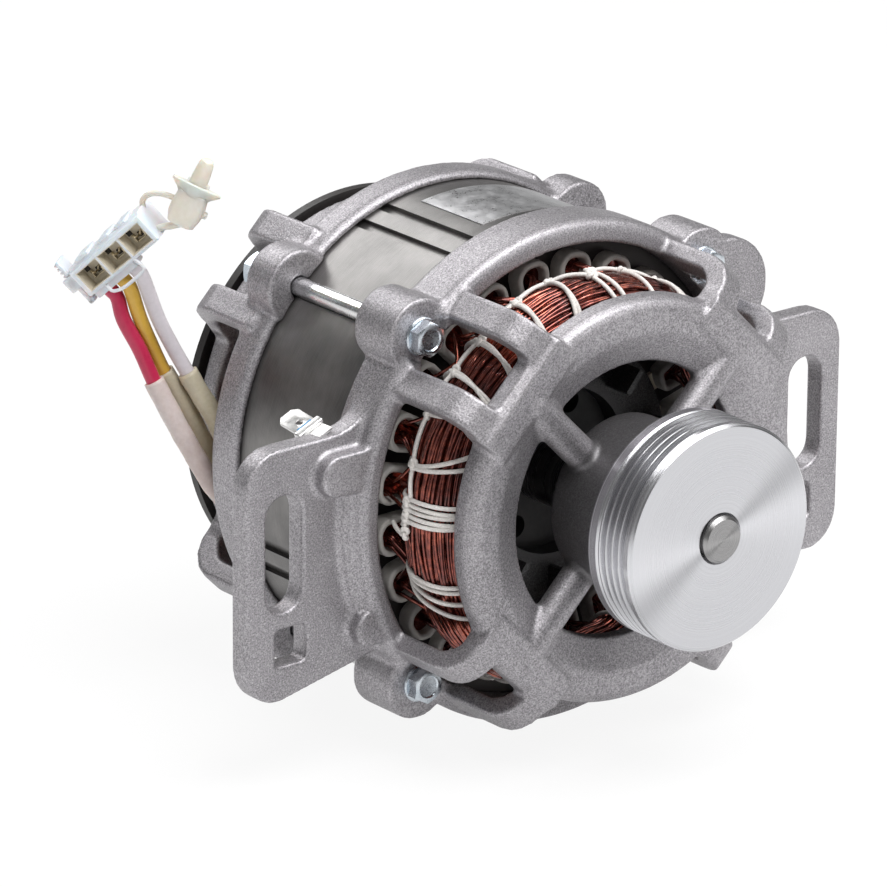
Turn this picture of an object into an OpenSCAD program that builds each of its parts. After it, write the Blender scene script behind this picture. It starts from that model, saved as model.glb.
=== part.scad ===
// Washing machine motor: an open induction motor with a poly-V belt pulley.
// The shaft lies along Y with the pulley at the front (-Y), and Z is up.
// The origin is on the shaft axis, in the plane of the mounting flanges' front faces.

/* [Drive end] */
// Shaft diameter at the pulley and the bearings
shaft_d = 12; // [10:0.5:13]
// Shaft diameter under the rotor core
rotor_seat_d = 18; // [16:0.5:22]
// Shaft diameter at the fan
fan_seat_d = 8; // [6:0.5:9]
// Distance from the flange faces to the pulley face
pulley_reach = 63; // [62:0.5:75]
// Outside diameter of the pulley
pulley_d = 57.5; // [50:0.5:66]
// Width of the pulley
pulley_w = 16; // [15.5:0.5:17]
// How far the shaft stands out of the pulley face
shaft_nose = 1.5; // [0:0.25:3]
// Belt grooves on the pulley
groove_count = 4; // [2:1:4]
// Distance between belt grooves
groove_pitch = 2.34; // [2.1:0.02:2.4]
// Depth of a belt groove
groove_depth = 1.9; // [1.2:0.1:2.2]
// Width of the plain collar behind the grooves
collar_w = 4; // [3:0.25:4.25]

/* [Stator] */
// Outside diameter of the stator core
stator_d = 125.2; // [124:0.2:127]
// Length of the lamination stack
stack_len = 45; // [44:0.5:52]
// Distance from the flange faces back to the stack
stack_inset = 4; // [3.5:0.25:5]
// Bore of the stator core
bore_d = 72; // [70:0.5:74]
// Winding slots
slot_count = 24; // [18:2:24]
// Width of a slot at its bottom
slot_w = 8; // [6:0.25:8.5]
// Diameter over the slot bottoms
slot_bottom_d = 109; // [106:0.5:111]
// Gap between rotor and stator
air_gap = 0.35; // [0.3:0.05:0.8]
// Thickness of the slot liner sheet
liner_t = 0.5; // [0.3:0.1:0.8]
// How far the liner cuffs stand out of the stack
cuff_len = 4; // [2:0.5:4]

/* [End shields] */
// Wall of each rim outside the stator core
rim_wall = 2.4; // [1.8:0.2:4]
// Height of the shoulder that the stack seats on
shoulder = 3.6; // [2.5:0.2:4]
// How far the front rim stands forward of the flange faces
front_rim_fwd = 5; // [4:0.5:6]
// How far the front rim reaches behind the flange faces
front_rim_back = 9; // [8:0.5:12]
// Length of the rear rim over the stack
rear_register = 4; // [3:0.5:6]
// Length of the rear rim
rear_rim_len = 10; // [8:0.5:12]
// How far the through bolts' axes stand outside the stator core
bolt_out = 1.04; // [0.6:0.02:2]
// Radius of a bolt ear
ear_r = 9.5; // [8:0.25:11]
// Distance from the flange faces to the front ring's face
ring_reach = 31.5; // [31:0.5:34]
// Thickness of the front ring
ring_t = 7; // [5:0.5:7.5]
// Outside diameter of the rings
ring_od = 104; // [100:1:106]
// Hole through the front ring
ring_id = 70.4; // [66:0.4:74]
// Width of the flat band's inner edge on the front ring
ring_crease_d = 86.4; // [82:0.4:90]
// Distance from the stack to the back of the rear ring
rear_depth = 28; // [27:0.5:34]
// Thickness of the rear ring
rear_ring_t = 6; // [4:0.5:6]
// Width of a leg
leg_w = 8; // [6:0.5:9]
// Distance between the centre lines of a pair of legs
leg_pitch = 23; // [22.5:0.5:26]
// Wall of a leg, square to its length
leg_wall = 4.6; // [3.5:0.2:5]
// Width of the pad at the end of each spoke
pad_w = 32; // [28:1:36]
// Diameter of a spoke
spoke_d = 8.4; // [6:0.2:9.5]
// Outside diameter of the bearing hubs
hub_d = 42.8; // [40:0.4:48]

/* [Mounting flanges] */
// Width over both flanges
flange_span = 191.4; // [186:0.2:200]
// Thickness of a flange
flange_t = 6; // [4:0.5:7]
// Height of a flange's top edge above the shaft axis
flange_top = 23.5; // [22:0.5:28]
// Depth of a flange's lower corner below the shaft axis
flange_drop = 41.5; // [40:0.5:46]
// Corner radius of a flange
flange_corner = 10; // [6:0.5:11]
// Distance between the two slots
mount_pitch = 168; // [166:0.5:172]
// Width of a mounting slot
mount_slot_w = 11; // [8:0.5:12]
// Length of a mounting slot
mount_slot_len = 30; // [22:0.5:31]
// Height of the slot centres, below the shaft axis when negative
mount_slot_z = -3.5; // [-4:0.5:-2]
// Side of the square hole below each slot
square_hole = 9.5; // [6:0.5:10]
// How far the flange ribs stand forward of the flange faces
flange_rib_h = 4.5; // [2:0.5:6]

/* [Fasteners] */
// Thread diameter of the through bolts
bolt_d = 5; // [4:0.5:5]
// Width across flats of bolt heads and nuts
hex_af = 8; // [7:0.5:9]
// Height of a bolt head
head_h = 4; // [3:0.25:4]
// Height of a nut
nut_h = 4; // [3:0.25:5]
// How far the bolts stand out of their nuts
bolt_end = 1.5; // [0.5:0.25:3]

/* [Bearings] */
// Outside diameter of a bearing
bearing_od = 32; // [30:0.5:33]
// Width of a bearing
bearing_w = 10; // [9:0.5:11]
// Ball diameter
ball_d = 6; // [5:0.25:6.25]
// Balls in each bearing
ball_count = 7; // [5:1:8]

/* [Rotor and fan] */
// Radial vent holes in the rotor core
vent_count = 6; // [4:1:8]
// Diameter of a vent hole
vent_d = 6; // [4:0.5:7]
// Fins on each rotor end ring
fin_count = 10; // [6:1:14]
// Height of a fin
fin_h = 8; // [4:0.5:9]
// Diameter of the cooling fan
fan_d = 106; // [90:1:112]
// Thickness of the fan's plate
fan_plate_t = 2.5; // [2:0.25:3]
// Height of the fan's blades
fan_blade_h = 4.5; // [3:0.5:8]
// Blades on the fan
fan_blades = 12; // [6:1:16]

/* [Windings] */
// Turns of wire rope round each end winding
winding_loops = 10; // [6:1:10]
// Diameter of the winding's rope
winding_d = 2.2; // [1.6:0.1:2.3]
// Lacing turns round the front end winding
front_lacing_turns = 15; // [6:1:15]
// Lacing turns round the rear end winding, which leave the leads free
rear_lacing_turns = 14; // [6:1:14]
// Diameter of the lacing cord
lacing_d = 1.6; // [1:0.1:1.8]

/* [Leads and connector] */
// Outside diameter of a lead
lead_d = 3.8; // [3:0.1:4]
// Outside diameter of a lead's sleeve
sleeve_d = 5.2; // [4.8:0.1:5.4]
// Wall of a sleeve
sleeve_wall = 0.5; // [0.3:0.05:0.5]
// Distance between connector sockets
socket_pitch = 7.4; // [7:0.1:8.5]
// Side of a connector socket
socket_w = 5.4; // [4.5:0.1:5.8]
// Depth of the connector housing along its sockets
housing_depth = 12; // [11:0.5:20]
// Width of the earth tab
tab_w = 6.3; // [4.8:0.1:6.5]
// Thickness of the earth tab
tab_t = 0.8; // [0.5:0.1:1]

/* [Hidden] */
$fn = 64;
seat_clear = 0.1;
ball_clear = 0.05;
run_clear = 1.5;
over = 1;
chamfer = 1;

// Axial places
stack_y0 = stack_inset;
stack_y1 = stack_y0 + stack_len;
ear_seat_y = 1.5 - front_rim_fwd;
ear_back_y = front_rim_back + 2;
ring_front_y = -ring_reach;
ring_back_y = ring_front_y + ring_t;
rear_rim_y0 = stack_y1 - rear_register;
rear_rim_y1 = rear_rim_y0 + rear_rim_len;
rear_ear_y0 = rear_rim_y1 - 1;
rear_ear_y1 = rear_rim_y1 + 3;
rear_ring_y1 = stack_y1 + rear_depth;
rear_ring_y0 = rear_ring_y1 - rear_ring_t;
pulley_front_y = -pulley_reach;
pulley_back_y = pulley_front_y + pulley_w;
hub_lip = 4;
hub_edge = 2;
washer_gap = 2;
hub_len = hub_lip + washer_gap + bearing_w + 4;
hub_front_y = pulley_back_y + 3;
hub_back_y = hub_front_y + hub_len;
front_bearing_y = hub_front_y + hub_lip + washer_gap;
rear_hub_y1 = rear_ring_y1;
rear_hub_y0 = rear_hub_y1 - hub_lip - bearing_w - 1;
rear_bearing_y = rear_hub_y1 - hub_lip - bearing_w;
fan_y0 = rear_ring_y1 + run_clear;
fan_y1 = fan_y0 + fan_plate_t + fan_blade_h;
circlip_t = 1.2;
shaft_tail = 2;
shaft_bevel = 0.8;

// Radial places
stator_r = stator_d / 2;
rim_r = stator_r + rim_wall;
shoulder_r = stator_r - shoulder;
bore_r = bore_d / 2;
ring_r = ring_od / 2;
hub_r = hub_d / 2;
bolt_xz = (stator_r + bolt_out) / sqrt(2);
bolt_hole_r = bolt_d / 2 + 0.25;
hex_d = hex_af / cos(30);
seat_r = hex_d / 2 + 2;
foot_flat = 0.25;
bearing_r = bearing_od / 2;
shaft_r = shaft_d / 2;
rotor_r = bore_r - air_gap;
pulley_r = pulley_d / 2;
fan_r = fan_d / 2;
spoke_y = ring_front_y + spoke_d / 2 - 1.7;
rear_spoke_y = rear_ring_y1 - spoke_d / 2 - 0.2;

// Winding slots
slot_bottom_r = slot_bottom_d / 2;
slot_mouth = 2.6;
slot_lip = 1.2;
slot_neck = 3.2;
slot_in_w = slot_w * 0.62;
slot_chamfer = 1.8;
rear_cuff = cuff_len / 2;

// End winding sections: radius, axial place, half width and half height of the rope's path
front_bundle = [46.5, stack_y0 - 15.5, 4.75, 7.25];
rear_bundle = [46, stack_y1 + 11.9, 4.4, 5.8];
rings_per_loop = 24;
rope_sides = 6;
rings_per_lacing = 8;
lacing_gap = 0.3;
lacing_slack = 0.8;
core_clear = 0.6;

// Earth tab on the left flange
tab_x = 25 - flange_span / 2;
tab_len = 10;
tab_root = 4;
tab_rise = 10;
tab_roll = 24;
tab_hole_d = 1.7;
tab_hole_in = 5.2;
tab_fold_w = 8;
tab_fold_h = 1.5;

// Label on the stator core: where it starts round the shaft, how far it runs, its inset from the rims
label_start = 100;
label_turn = 34;
label_inset = 6;

// Lead routes, from the rear winding up to the connector
red_route = [[-50.2, 59.6, -19.4], [-54.6, 59.6, -15], [-59.6, 60.2, -9], [-63, 62, -2.2],
    [-66.2, 64.2, 5], [-68.8, 66.8, 12], [-71.2, 69.6, 19], [-73.6, 72, 27], [-76.8, 74.4, 35]];
yellow_route = [[-51.7, 64.8, -14.2], [-53.4, 65.4, -9.5], [-55.8, 66, -4.5], [-58.3, 66.7, 1.2],
    [-61.2, 68.2, 8], [-63.8, 70, 14], [-66.6, 71.6, 20], [-69.6, 72.8, 27.5], [-72.8, 73, 35]];
white_route = [[-53.2, 59.8, -6.5], [-54.6, 59.8, -2], [-56.5, 60.8, 4], [-58, 62.4, 9],
    [-60, 64.9, 14], [-62.4, 67.4, 20], [-65.8, 69.4, 27.5], [-69.4, 70.4, 35.5]];
sleeve_points = 7;
white_sleeve_points = 6;
cord_sides = 8;

// Connector, in its own frame: sockets open to -Y, leads come in from below
connector_pos = [-78, 75.6, 54.3];
connector_turn = [4, -43, -53];
socket_z = -1.4;
lead_x = -5;
lead_pitch = lead_d + 0.6;
housing_wall = 0.9;
housing_w = 3 * socket_pitch + 2 * housing_wall;
housing_top = 5.2;
housing_drop = 7.2;
lead_hole = 2.4;
latch_pin_d = 1.6;
latch_clear = 0.08;
latch_gap = 1.5;
latch_t = 1.2;
latch_len = 6;
latch_x = -housing_w / 2 - latch_gap - latch_t / 2;
clip_pos = [housing_w / 2 + 13.2, 0, -2.5];
clip_tilt = 66;
clip_stem_d = 4;
clip_stem_len = 8.4;
clip_block = [8.5, 7, 9];
clip_flange = [13, 8, 1.4];
strand_d = 1.6;

// Helpers

// Turns a profile of radius and axial place about the shaft axis
module spin() {
    rotate([-90, 0, 0]) rotate_extrude() children();
}

// Extrudes an outline in X and Z from y0 to y1
module slab(y0, y1) {
    translate([0, y1, 0]) rotate([90, 0, 0]) linear_extrude(y1 - y0) children();
}

// Round bar along the shaft axis
module rod(r, y0, y1) {
    translate([0, y0, 0]) rotate([-90, 0, 0]) cylinder(r = r, h = y1 - y0);
}

// Hexagon along the shaft axis
module hex_rod(y0, y1) {
    translate([0, y0, 0]) rotate([-90, 0, 0]) cylinder(d = hex_d, h = y1 - y0, $fn = 6);
}

// Ring about the shaft axis
module ring(r0, r1, y0, y1) {
    spin() polygon([[r0, y0], [r1, y0], [r1, y1], [r0, y1]]);
}

// Local axes at an angle round the shaft: X outwards, Y along the shaft, Z round it
module at_angle(a) {
    rotate([0, -a, 0]) children();
}

module at_corners() {
    for (i = [0:3]) at_angle(45 + 90 * i) children();
}

module at_bolts() {
    for (x = [-1, 1], z = [-1, 1]) translate([x * bolt_xz, 0, z * bolt_xz]) children();
}

// Profile of radius and axial place, as a bar of width w centred t round from the local axis
module bar(w, t) {
    translate([0, 0, t - w / 2]) linear_extrude(w) children();
}

function arc(c, r, a0, a1, n = 6) =
    [for (i = [0:n]) let (a = a0 + (a1 - a0) * i / n) [c[0] + r * cos(a), c[1] + r * sin(a)]];

function unit(v) = v / norm(v);

// Point round the shaft axis at angle a
function about(r, y, a) = [r * cos(a), y, r * sin(a)];

// Closed tube through rings of equal point count
module tube(rings) {
    n = len(rings[0]);
    m = len(rings);
    points = [for (ring_pts = rings) each ring_pts];
    sides = [for (i = [0:m - 2], k = [0:n - 1])
        let (a = i * n + k, b = i * n + (k + 1) % n, c = b + n, d = a + n) each [[a, c, b], [a, d, c]]];
    first = [for (k = [1:n - 2]) [0, k, k + 1]];
    last = [for (k = [1:n - 2]) (m - 1) * n * [1, 1, 1] + [0, k + 1, k]];
    polyhedron(points = points, faces = concat(sides, first, last));
}

// Open pipe between an outer and an inner set of rings
module pipe(outer, inner) {
    n = len(outer[0]);
    m = len(outer);
    h = n * m;
    e = h - n;
    points = [for (ring_pts = concat(outer, inner)) each ring_pts];
    walls = [for (i = [0:m - 2], k = [0:n - 1])
        let (a = i * n + k, b = i * n + (k + 1) % n, c = b + n, d = a + n)
        each [[a, c, b], [a, d, c], [h + a, h + b, h + c], [h + a, h + c, h + d]]];
    first = [for (k = [0:n - 1]) let (b = (k + 1) % n) each [[k, b, h + b], [k, h + b, h + k]]];
    last = [for (k = [0:n - 1]) let (a = e + k, b = e + (k + 1) % n)
        each [[a, h + b, b], [a, h + a, h + b]]];
    polyhedron(points = points, faces = concat(walls, first, last));
}

// Tangent of a route at point i
function tangent(p, i) = unit(p[min(i + 1, len(p) - 1)] - p[max(i - 1, 0)]);

// Rings of a cord along a route that never runs along Y
function cord_rings(p, r, n = cord_sides) = [for (i = [0:len(p) - 1])
    let (t = tangent(p, i), u = unit(cross(t, [0, 1, 0])), v = cross(t, u))
    [for (k = [0:n - 1]) p[i] + r * (cos(360 * k / n) * u + sin(360 * k / n) * v)]];

// First points of a route
function start_of(p, n) = [for (i = [0:n - 1]) p[i]];

// End shields

function rim_profile(y0, y1, edge) = [[shoulder_r - over, y0], [rim_r - 2.5, y0], [rim_r - 0.8, y0 + 0.8],
    [rim_r, y0 + 2.5], [rim_r, y1 - edge], [rim_r - edge, y1], [shoulder_r - over, y1]];

leg_out = rim_r - 3;
leg_in = leg_out - leg_wall;
front_leg = [[leg_in, 2], [leg_out, 2], [leg_out, ring_front_y + 10], [leg_out - 0.6, ring_front_y + 6.8],
    [leg_out - 2, ring_front_y + 4.4], [leg_out - 4.2, ring_front_y + 2.4],
    [leg_out - 7, ring_front_y + 1], [leg_out - 10, ring_front_y + 0.4],
    [ring_r - 8, ring_front_y + 0.4], [ring_r - 8, ring_back_y - 0.5],
    [leg_in - 4, ring_back_y - 0.5], [leg_in - 1.6, ring_back_y + 1.4], [leg_in, ring_back_y + 4.4]];

front_ring_profile = [[ring_id / 2, ring_front_y + 3], [ring_crease_d / 2, ring_front_y],
    [ring_r - 3, ring_front_y], [ring_r - 1, ring_front_y + 1], [ring_r, ring_front_y + 3],
    [ring_r, ring_back_y], [ring_id / 2, ring_back_y]];

pad_in = ring_crease_d / 2 + 0.5;
pad_out = ring_r + 1.6;
front_pad = [[pad_in, ring_front_y - 0.8], [ring_r - 0.5, ring_front_y - 0.8],
    [pad_out, ring_front_y + 1.4], [pad_out, ring_back_y - 1], [pad_in, ring_back_y - 1]];

rear_leg = [[shoulder_r + 1, rear_rim_y0 + 5], [rim_r + 0.5, rear_rim_y0 + 5],
    [rim_r + 0.5, rear_ring_y1 - 9], [rim_r - 1, rear_ring_y1 - 5],
    [rim_r - 4, rear_ring_y1 - 1.8], [rim_r - 8, rear_ring_y1],
    [ring_r - 8, rear_ring_y1], [ring_r - 8, rear_ring_y0], [rim_r - 9.5, rear_ring_y0],
    [rim_r - 5.4, rear_ring_y0 - 4], [shoulder_r + 1, rear_ring_y0 - 8]];

rear_pad = [[pad_in, rear_ring_y0], [pad_out, rear_ring_y0],
    [pad_out, rear_ring_y1 - 1.4], [ring_r - 0.5, rear_ring_y1], [pad_in, rear_ring_y1]];

module spoke(y) {
    r0 = hub_r - 3;
    reach = ring_r - 3 - r0;
    s = spoke_d / 2;
    translate([r0, y, 0]) rotate([0, 90, 0]) rotate_extrude()
        polygon([[0, 0], [s, 0], [s, reach - s], [s * 0.87, reach - s * 0.5],
            [s * 0.5, reach - s * 0.13], [0, reach]]);
}

module flange_outline(side) {
    x = flange_span / 2;
    inner = shoulder_r - over;
    corner = flange_corner;
    fillet = [[-8.6, 8.5], [-6.4, 5.5], [-4.4, 3.1], [-1.6, 1.2], [2, 0.2], [5, 0]];
    mirror([side < 0 ? 1 : 0, 0]) polygon(concat([[inner * 0.8, flange_top + fillet[0].y]],
        [for (p = fillet) [rim_r, flange_top] + p],
        arc([x - corner, flange_top - corner], corner, 90, 0),
        arc([x - corner, corner - flange_drop], corner, 0, -90),
        [[inner * 0.8, -flange_drop * 0.8]]));
}

module flange_cuts() {
    straight = mount_slot_len - mount_slot_w;
    hole_z = mount_slot_z - mount_slot_len / 2 - 4.3 - square_hole / 2;
    for (side = [-1, 1]) {
        translate([side * mount_pitch / 2, mount_slot_z]) {
            square([mount_slot_w, straight], center = true);
            for (z = [-1, 1]) translate([0, z * straight / 2]) circle(d = mount_slot_w);
        }
        translate([side * (mount_pitch / 2 - 2.2), hole_z]) square(square_hole, center = true);
    }
}

// Rounded rib that stands forward on a flange, from the rim out to x_end
module flange_rib(x_end, z, r) {
    x_in = shoulder_r - over;
    slab(-flange_rib_h, flange_t / 2) {
        translate([x_end - r, z]) circle(r);
        translate([x_in * 0.8, z - r]) square([x_end - r - x_in * 0.8, 2 * r]);
    }
}

module flanges() {
    lug_r = 13.5;
    slab(0, flange_t) flange_outline(-1);
    slab(0, flange_t) {
        flange_outline(1);
        translate([bolt_xz + 11.5, bolt_xz - 10]) circle(lug_r);
    }
    for (side = [-1, 1]) mirror([side < 0 ? 1 : 0, 0, 0]) {
        flange_rib(rim_r + 10.6, 14.5, 5.3);
        flange_rib(rim_r, -27, 4.6);
        at_angle(-20) rotate([-90, 0, 0]) rotate_extrude(angle = -32)
            polygon([[shoulder_r + 1, -2], [rim_r + 2.3, -2], [rim_r + 2.3, flange_t / 2],
                [shoulder_r + 1, flange_t / 2]]);
    }
}

// Slot in the left flange's top edge that holds the earth tab's root
module tab_place() {
    translate([tab_x, flange_t - tab_root, flange_top]) rotate([0, -tab_roll, 0]) children();
}

module tab_slot() {
    tab_place() translate([-tab_w / 2, 0, -tab_t / 2]) cube([tab_w, tab_root + over, tab_t]);
}

// Eight-sided space round a hub, whose flats cut the spokes square
hub_split = (hub_r + ring_id / 2) / 2;

module hub_space(y0, y1) {
    translate([0, y0 - over, 0]) rotate([-90, 0, 0]) rotate(22.5)
        cylinder(r = hub_split / cos(22.5), h = y1 - y0 + 2 * over, $fn = 8);
}

// Hub between y0 and y1 with the roots of its spokes, which stand at y
module hub_body(y0, y1, front_edge, back_edge, y) intersection() {
    union() {
        spin() polygon([[shaft_r, y0], [hub_r - front_edge, y0], [hub_r, y0 + front_edge],
            [hub_r, y1 - back_edge], [hub_r - back_edge, y1], [shaft_r, y1]]);
        at_corners() spoke(y);
    }
    hub_space(y0, y1);
}

module front_bearing_hub() color([0.66, 0.65, 0.67]) difference() {
    hub_body(hub_front_y, hub_back_y, hub_edge, chamfer, spoke_y);
    rod(shaft_r + 2, hub_front_y - over, hub_front_y + hub_lip + over);
    rod(bearing_r, hub_front_y + hub_lip, hub_back_y + over);
}

module rear_bearing_hub() color([0.64, 0.63, 0.65]) difference() {
    hub_body(rear_hub_y0, rear_hub_y1, chamfer, hub_edge, rear_spoke_y);
    rod(shaft_r + 2, rear_hub_y1 - hub_lip - over, rear_hub_y1 + over);
    rod(bearing_r, rear_hub_y0 - over, rear_hub_y1 - hub_lip);
}

// Outer ends of the flanges, beyond the planes that part them from the shield
flange_split = mount_pitch / 2 - 10;

module flange_end(side) {
    translate([side * (flange_split + flange_span / 2), 0, 0]) cube(flange_span, center = true);
}

module flange(side) color([0.66, 0.65, 0.67]) difference() {
    intersection() {
        flanges();
        flange_end(side);
    }
    slab(-over, flange_t + over) flange_cuts();
}

module left_flange() difference() {
    flange(-1);
    tab_slot();
}

module right_flange() flange(1);

// Space of the front ring with its pads and spokes, up to the plane that parts it from the legs
ring_split_y = ring_back_y + 1;

module ring_space() {
    rod(rim_r, hub_front_y, ring_split_y);
}

// Flat under both rims, on which the motor stands
module foot_cut() {
    translate([-rim_r / 2, -rim_r, -rim_r - over]) cube([rim_r, 3 * rim_r, over + foot_flat]);
}

module front_casting() difference() {
    union() {
        spin() polygon(rim_profile(-front_rim_fwd, front_rim_back, 0.5));
        spin() polygon(front_ring_profile);
        at_bolts() rod(ear_r, ear_seat_y, ear_back_y);
        at_corners() {
            for (s = [-1, 1]) bar(leg_w, s * leg_pitch / 2) polygon(front_leg);
            bar(pad_w, 0) polygon(front_pad);
            spoke(spoke_y);
        }
        flanges();
    }
    rod(shoulder_r, -front_rim_fwd - 1.2, stack_y0);
    rod(stator_r, stack_y0, ear_back_y + over);
    at_bolts() {
        rod(bolt_hole_r, ear_seat_y - over, ear_back_y + over);
        rod(seat_r, ring_back_y, ear_seat_y);
    }
    foot_cut();
}

module front_end_shield() color([0.66, 0.65, 0.67]) difference() {
    front_casting();
    ring_space();
    for (side = [-1, 1]) flange_end(side);
    tab_slot();
}

module front_ring() color([0.66, 0.65, 0.67]) difference() {
    intersection() {
        front_casting();
        ring_space();
    }
    hub_space(hub_front_y, hub_back_y);
}

module rear_end_shield() color([0.64, 0.63, 0.65]) difference() {
    union() {
        spin() polygon(rim_profile(rear_rim_y0, rear_rim_y1, 1));
        ring(ring_id / 2, ring_r, rear_ring_y0, rear_ring_y1);
        at_bolts() {
            rod(ear_r, rear_rim_y0 - over, rear_ear_y0);
            rod(seat_r - 1, rear_rim_y0 + over, rear_ear_y1);
        }
        at_corners() {
            for (s = [-1, 1]) bar(leg_w, s * leg_pitch / 2) polygon(rear_leg);
            bar(pad_w, 0) polygon(rear_pad);
            spoke(rear_spoke_y);
        }
    }
    rod(stator_r, rear_rim_y0 - 2 * over, stack_y1);
    rod(shoulder_r, stack_y1, rear_ear_y1 + over);
    at_bolts() {
        rod(bolt_hole_r, rear_rim_y0 - 2 * over, rear_ear_y1 + over);
        rod(seat_r, rear_ear_y1, rear_ring_y0 - over);
    }
    foot_cut();
    hub_space(rear_hub_y0, rear_hub_y1);
}

// Stator

function slot_outline(inset) = let (half_in = slot_in_w / 2 - inset, half_out = slot_w / 2 - inset,
    r0 = bore_r + slot_neck + inset, r1 = slot_bottom_r - inset, c = slot_chamfer)
    [[r0, -half_in], [r1 - c, -half_out], [r1, c - half_out], [r1, half_out - c], [r1 - c, half_out],
    [r0, half_in]];

module at_slots() {
    for (i = [0:slot_count - 1]) at_angle(360 * (i + 0.5) / slot_count) children();
}

module stator_core() color([0.42, 0.42, 0.43]) difference() {
    rod(stator_r, stack_y0, stack_y1);
    rod(bore_r, stack_y0 - over, stack_y1 + over);
    at_slots() slab(stack_y0 - over, stack_y1 + over) {
        polygon(slot_outline(0));
        translate([bore_r - over, -slot_mouth / 2]) square([slot_neck + over + 0.5, slot_mouth]);
        translate([bore_r + slot_lip, -slot_in_w / 2]) square([slot_neck - slot_lip + 0.01, slot_in_w]);
    }
    at_bolts() rod(bolt_hole_r, stack_y0 - over, stack_y1 + over);
    for (i = [0:3], s = [-1, 1]) at_angle(90 * i + 20 + 3.6 * s)
        translate([stator_r - 1.2, stack_y0 - over, -1.6]) cube([2 * over + 1, stack_len + 2 * over, 3.2]);
}

module slot_liners() color([0.86, 0.83, 0.74]) at_slots()
    slab(stack_y0 - cuff_len, stack_y1 + rear_cuff) difference() {
        polygon(slot_outline(seat_clear));
        polygon(slot_outline(seat_clear + liner_t));
    }

module slot_coils() color([0.45, 0.18, 0.1]) at_slots()
    slab(stack_y0 - cuff_len, stack_y1 + rear_cuff) polygon(slot_outline(liner_t + 2 * seat_clear));

module slot_wedges() color([0.8, 0.74, 0.6]) at_slots()
    slab(stack_y0 - 1, stack_y1 + 1) translate([bore_r + slot_lip + seat_clear, seat_clear - slot_in_w / 2])
        square([slot_neck - slot_lip - seat_clear, slot_in_w - 2 * seat_clear]);

// End windings: b holds radius, axial place, half width and half height of the rope's path

function rope_centre(b, t, loops) = let (a = 360 * loops * t, s = 360 * t)
    about(b[0] + b[2] * cos(s), b[1] + b[3] * sin(s), a);

function rope_ring(c, a, r) = [for (k = [0:rope_sides - 1]) let (q = 360 * k / rope_sides)
    c + r * (cos(q) * [cos(a), 0, sin(a)] + sin(q) * [0, 1, 0])];

function rope_rings(b) = let (n = winding_loops * rings_per_loop - 1, tail = winding_d,
    first = rope_centre(b, 0, winding_loops), last_t = n / (n + 1),
    last = rope_centre(b, last_t, winding_loops), last_a = 360 * winding_loops * last_t)
    concat([rope_ring(first + [0, 0, -tail], 0, winding_d / 2)],
        [for (i = [0:n]) let (t = i / (n + 1))
            rope_ring(rope_centre(b, t, winding_loops), 360 * winding_loops * t, winding_d / 2)],
        [rope_ring(last + tail * [-sin(last_a), 0, cos(last_a)], last_a, winding_d / 2)]);

// Least clear space between two passes of the rope, measured on its points
function rope_gap(b) = let (n = winding_loops * rings_per_loop - 1,
    p = [for (i = [0:n]) rope_centre(b, i / (n + 1), winding_loops)])
    min([for (i = [0:n - 13], j = [i + 12:n]) norm(p[i] - p[j])]) - winding_d;

// Lacing path: b grown clear of the rope
function lacing_path(b) = let (g = winding_d / 2 + lacing_gap + lacing_d / 2 + lacing_slack)
    [b[0], b[1], b[2] + g, b[3] + g];

// Point i of a lacing that starts at the angle a0 and takes a turn for each step
function lacing_centre(b, a0, i) = let (t = i / rings_per_lacing, s = 360 * t)
    about(b[0] + b[2] * cos(s), b[1] + b[3] * sin(s), a0 + lacing_step * t);

function lacing_rings(b, turns, a0) = [for (i = [0:turns * rings_per_lacing])
    let (t = i / rings_per_lacing, s = 360 * t, a = a0 + lacing_step * t,
        out = unit(b[3] * cos(s) * [cos(a), 0, sin(a)] + b[2] * sin(s) * [0, 1, 0]),
        side = [sin(a), 0, -cos(a)])
    [for (k = [0:rope_sides - 1]) let (q = 360 * k / rope_sides)
        lacing_centre(b, a0, i) + lacing_d / 2 * (cos(q) * out + sin(q) * side)]];

// Least clear space between two turns of the lacing, measured on its points
function lacing_turn_gap(b, turns, a0) = let (n = turns * rings_per_lacing,
    p = [for (i = [0:n]) lacing_centre(b, a0, i)])
    min([for (i = [0:n - 5], j = [i + 4:n]) norm(p[i] - p[j])]) - lacing_d;

module winding_core(b) {
    inset = winding_d / 2 + core_clear;
    spin() translate([b[0], b[1]]) polygon([for (i = [0:15]) let (a = 22.5 * i)
        [(b[2] - inset) * cos(a), (b[3] - inset) * sin(a)]]);
}

// A turn each quarter of the way between two spokes, so that none passes over a spoke
lacing_step = 90 / 4;
front_lacing_start = 45 + 2.25 * lacing_step;
rear_lacing_start = 45 + 7.25 * lacing_step;

module front_winding_core() color([0.4, 0.15, 0.08]) winding_core(front_bundle);

module front_winding() color([0.55, 0.22, 0.12]) {
    echo(front_winding_gap = rope_gap(front_bundle));
    tube(rope_rings(front_bundle));
}

module front_lacing() color([0.9, 0.87, 0.8]) {
    path = lacing_path(front_bundle);
    echo(front_lacing_gap = lacing_turn_gap(path, front_lacing_turns, front_lacing_start));
    tube(lacing_rings(path, front_lacing_turns, front_lacing_start));
}

module rear_winding_core() color([0.4, 0.15, 0.08]) winding_core(rear_bundle);

module rear_winding() color([0.55, 0.22, 0.12]) {
    echo(rear_winding_gap = rope_gap(rear_bundle));
    tube(rope_rings(rear_bundle));
}

module rear_lacing() color([0.9, 0.87, 0.8]) {
    path = lacing_path(rear_bundle);
    echo(rear_lacing_gap = lacing_turn_gap(path, rear_lacing_turns, rear_lacing_start));
    tube(lacing_rings(path, rear_lacing_turns, rear_lacing_start));
}

// Rotor

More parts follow.
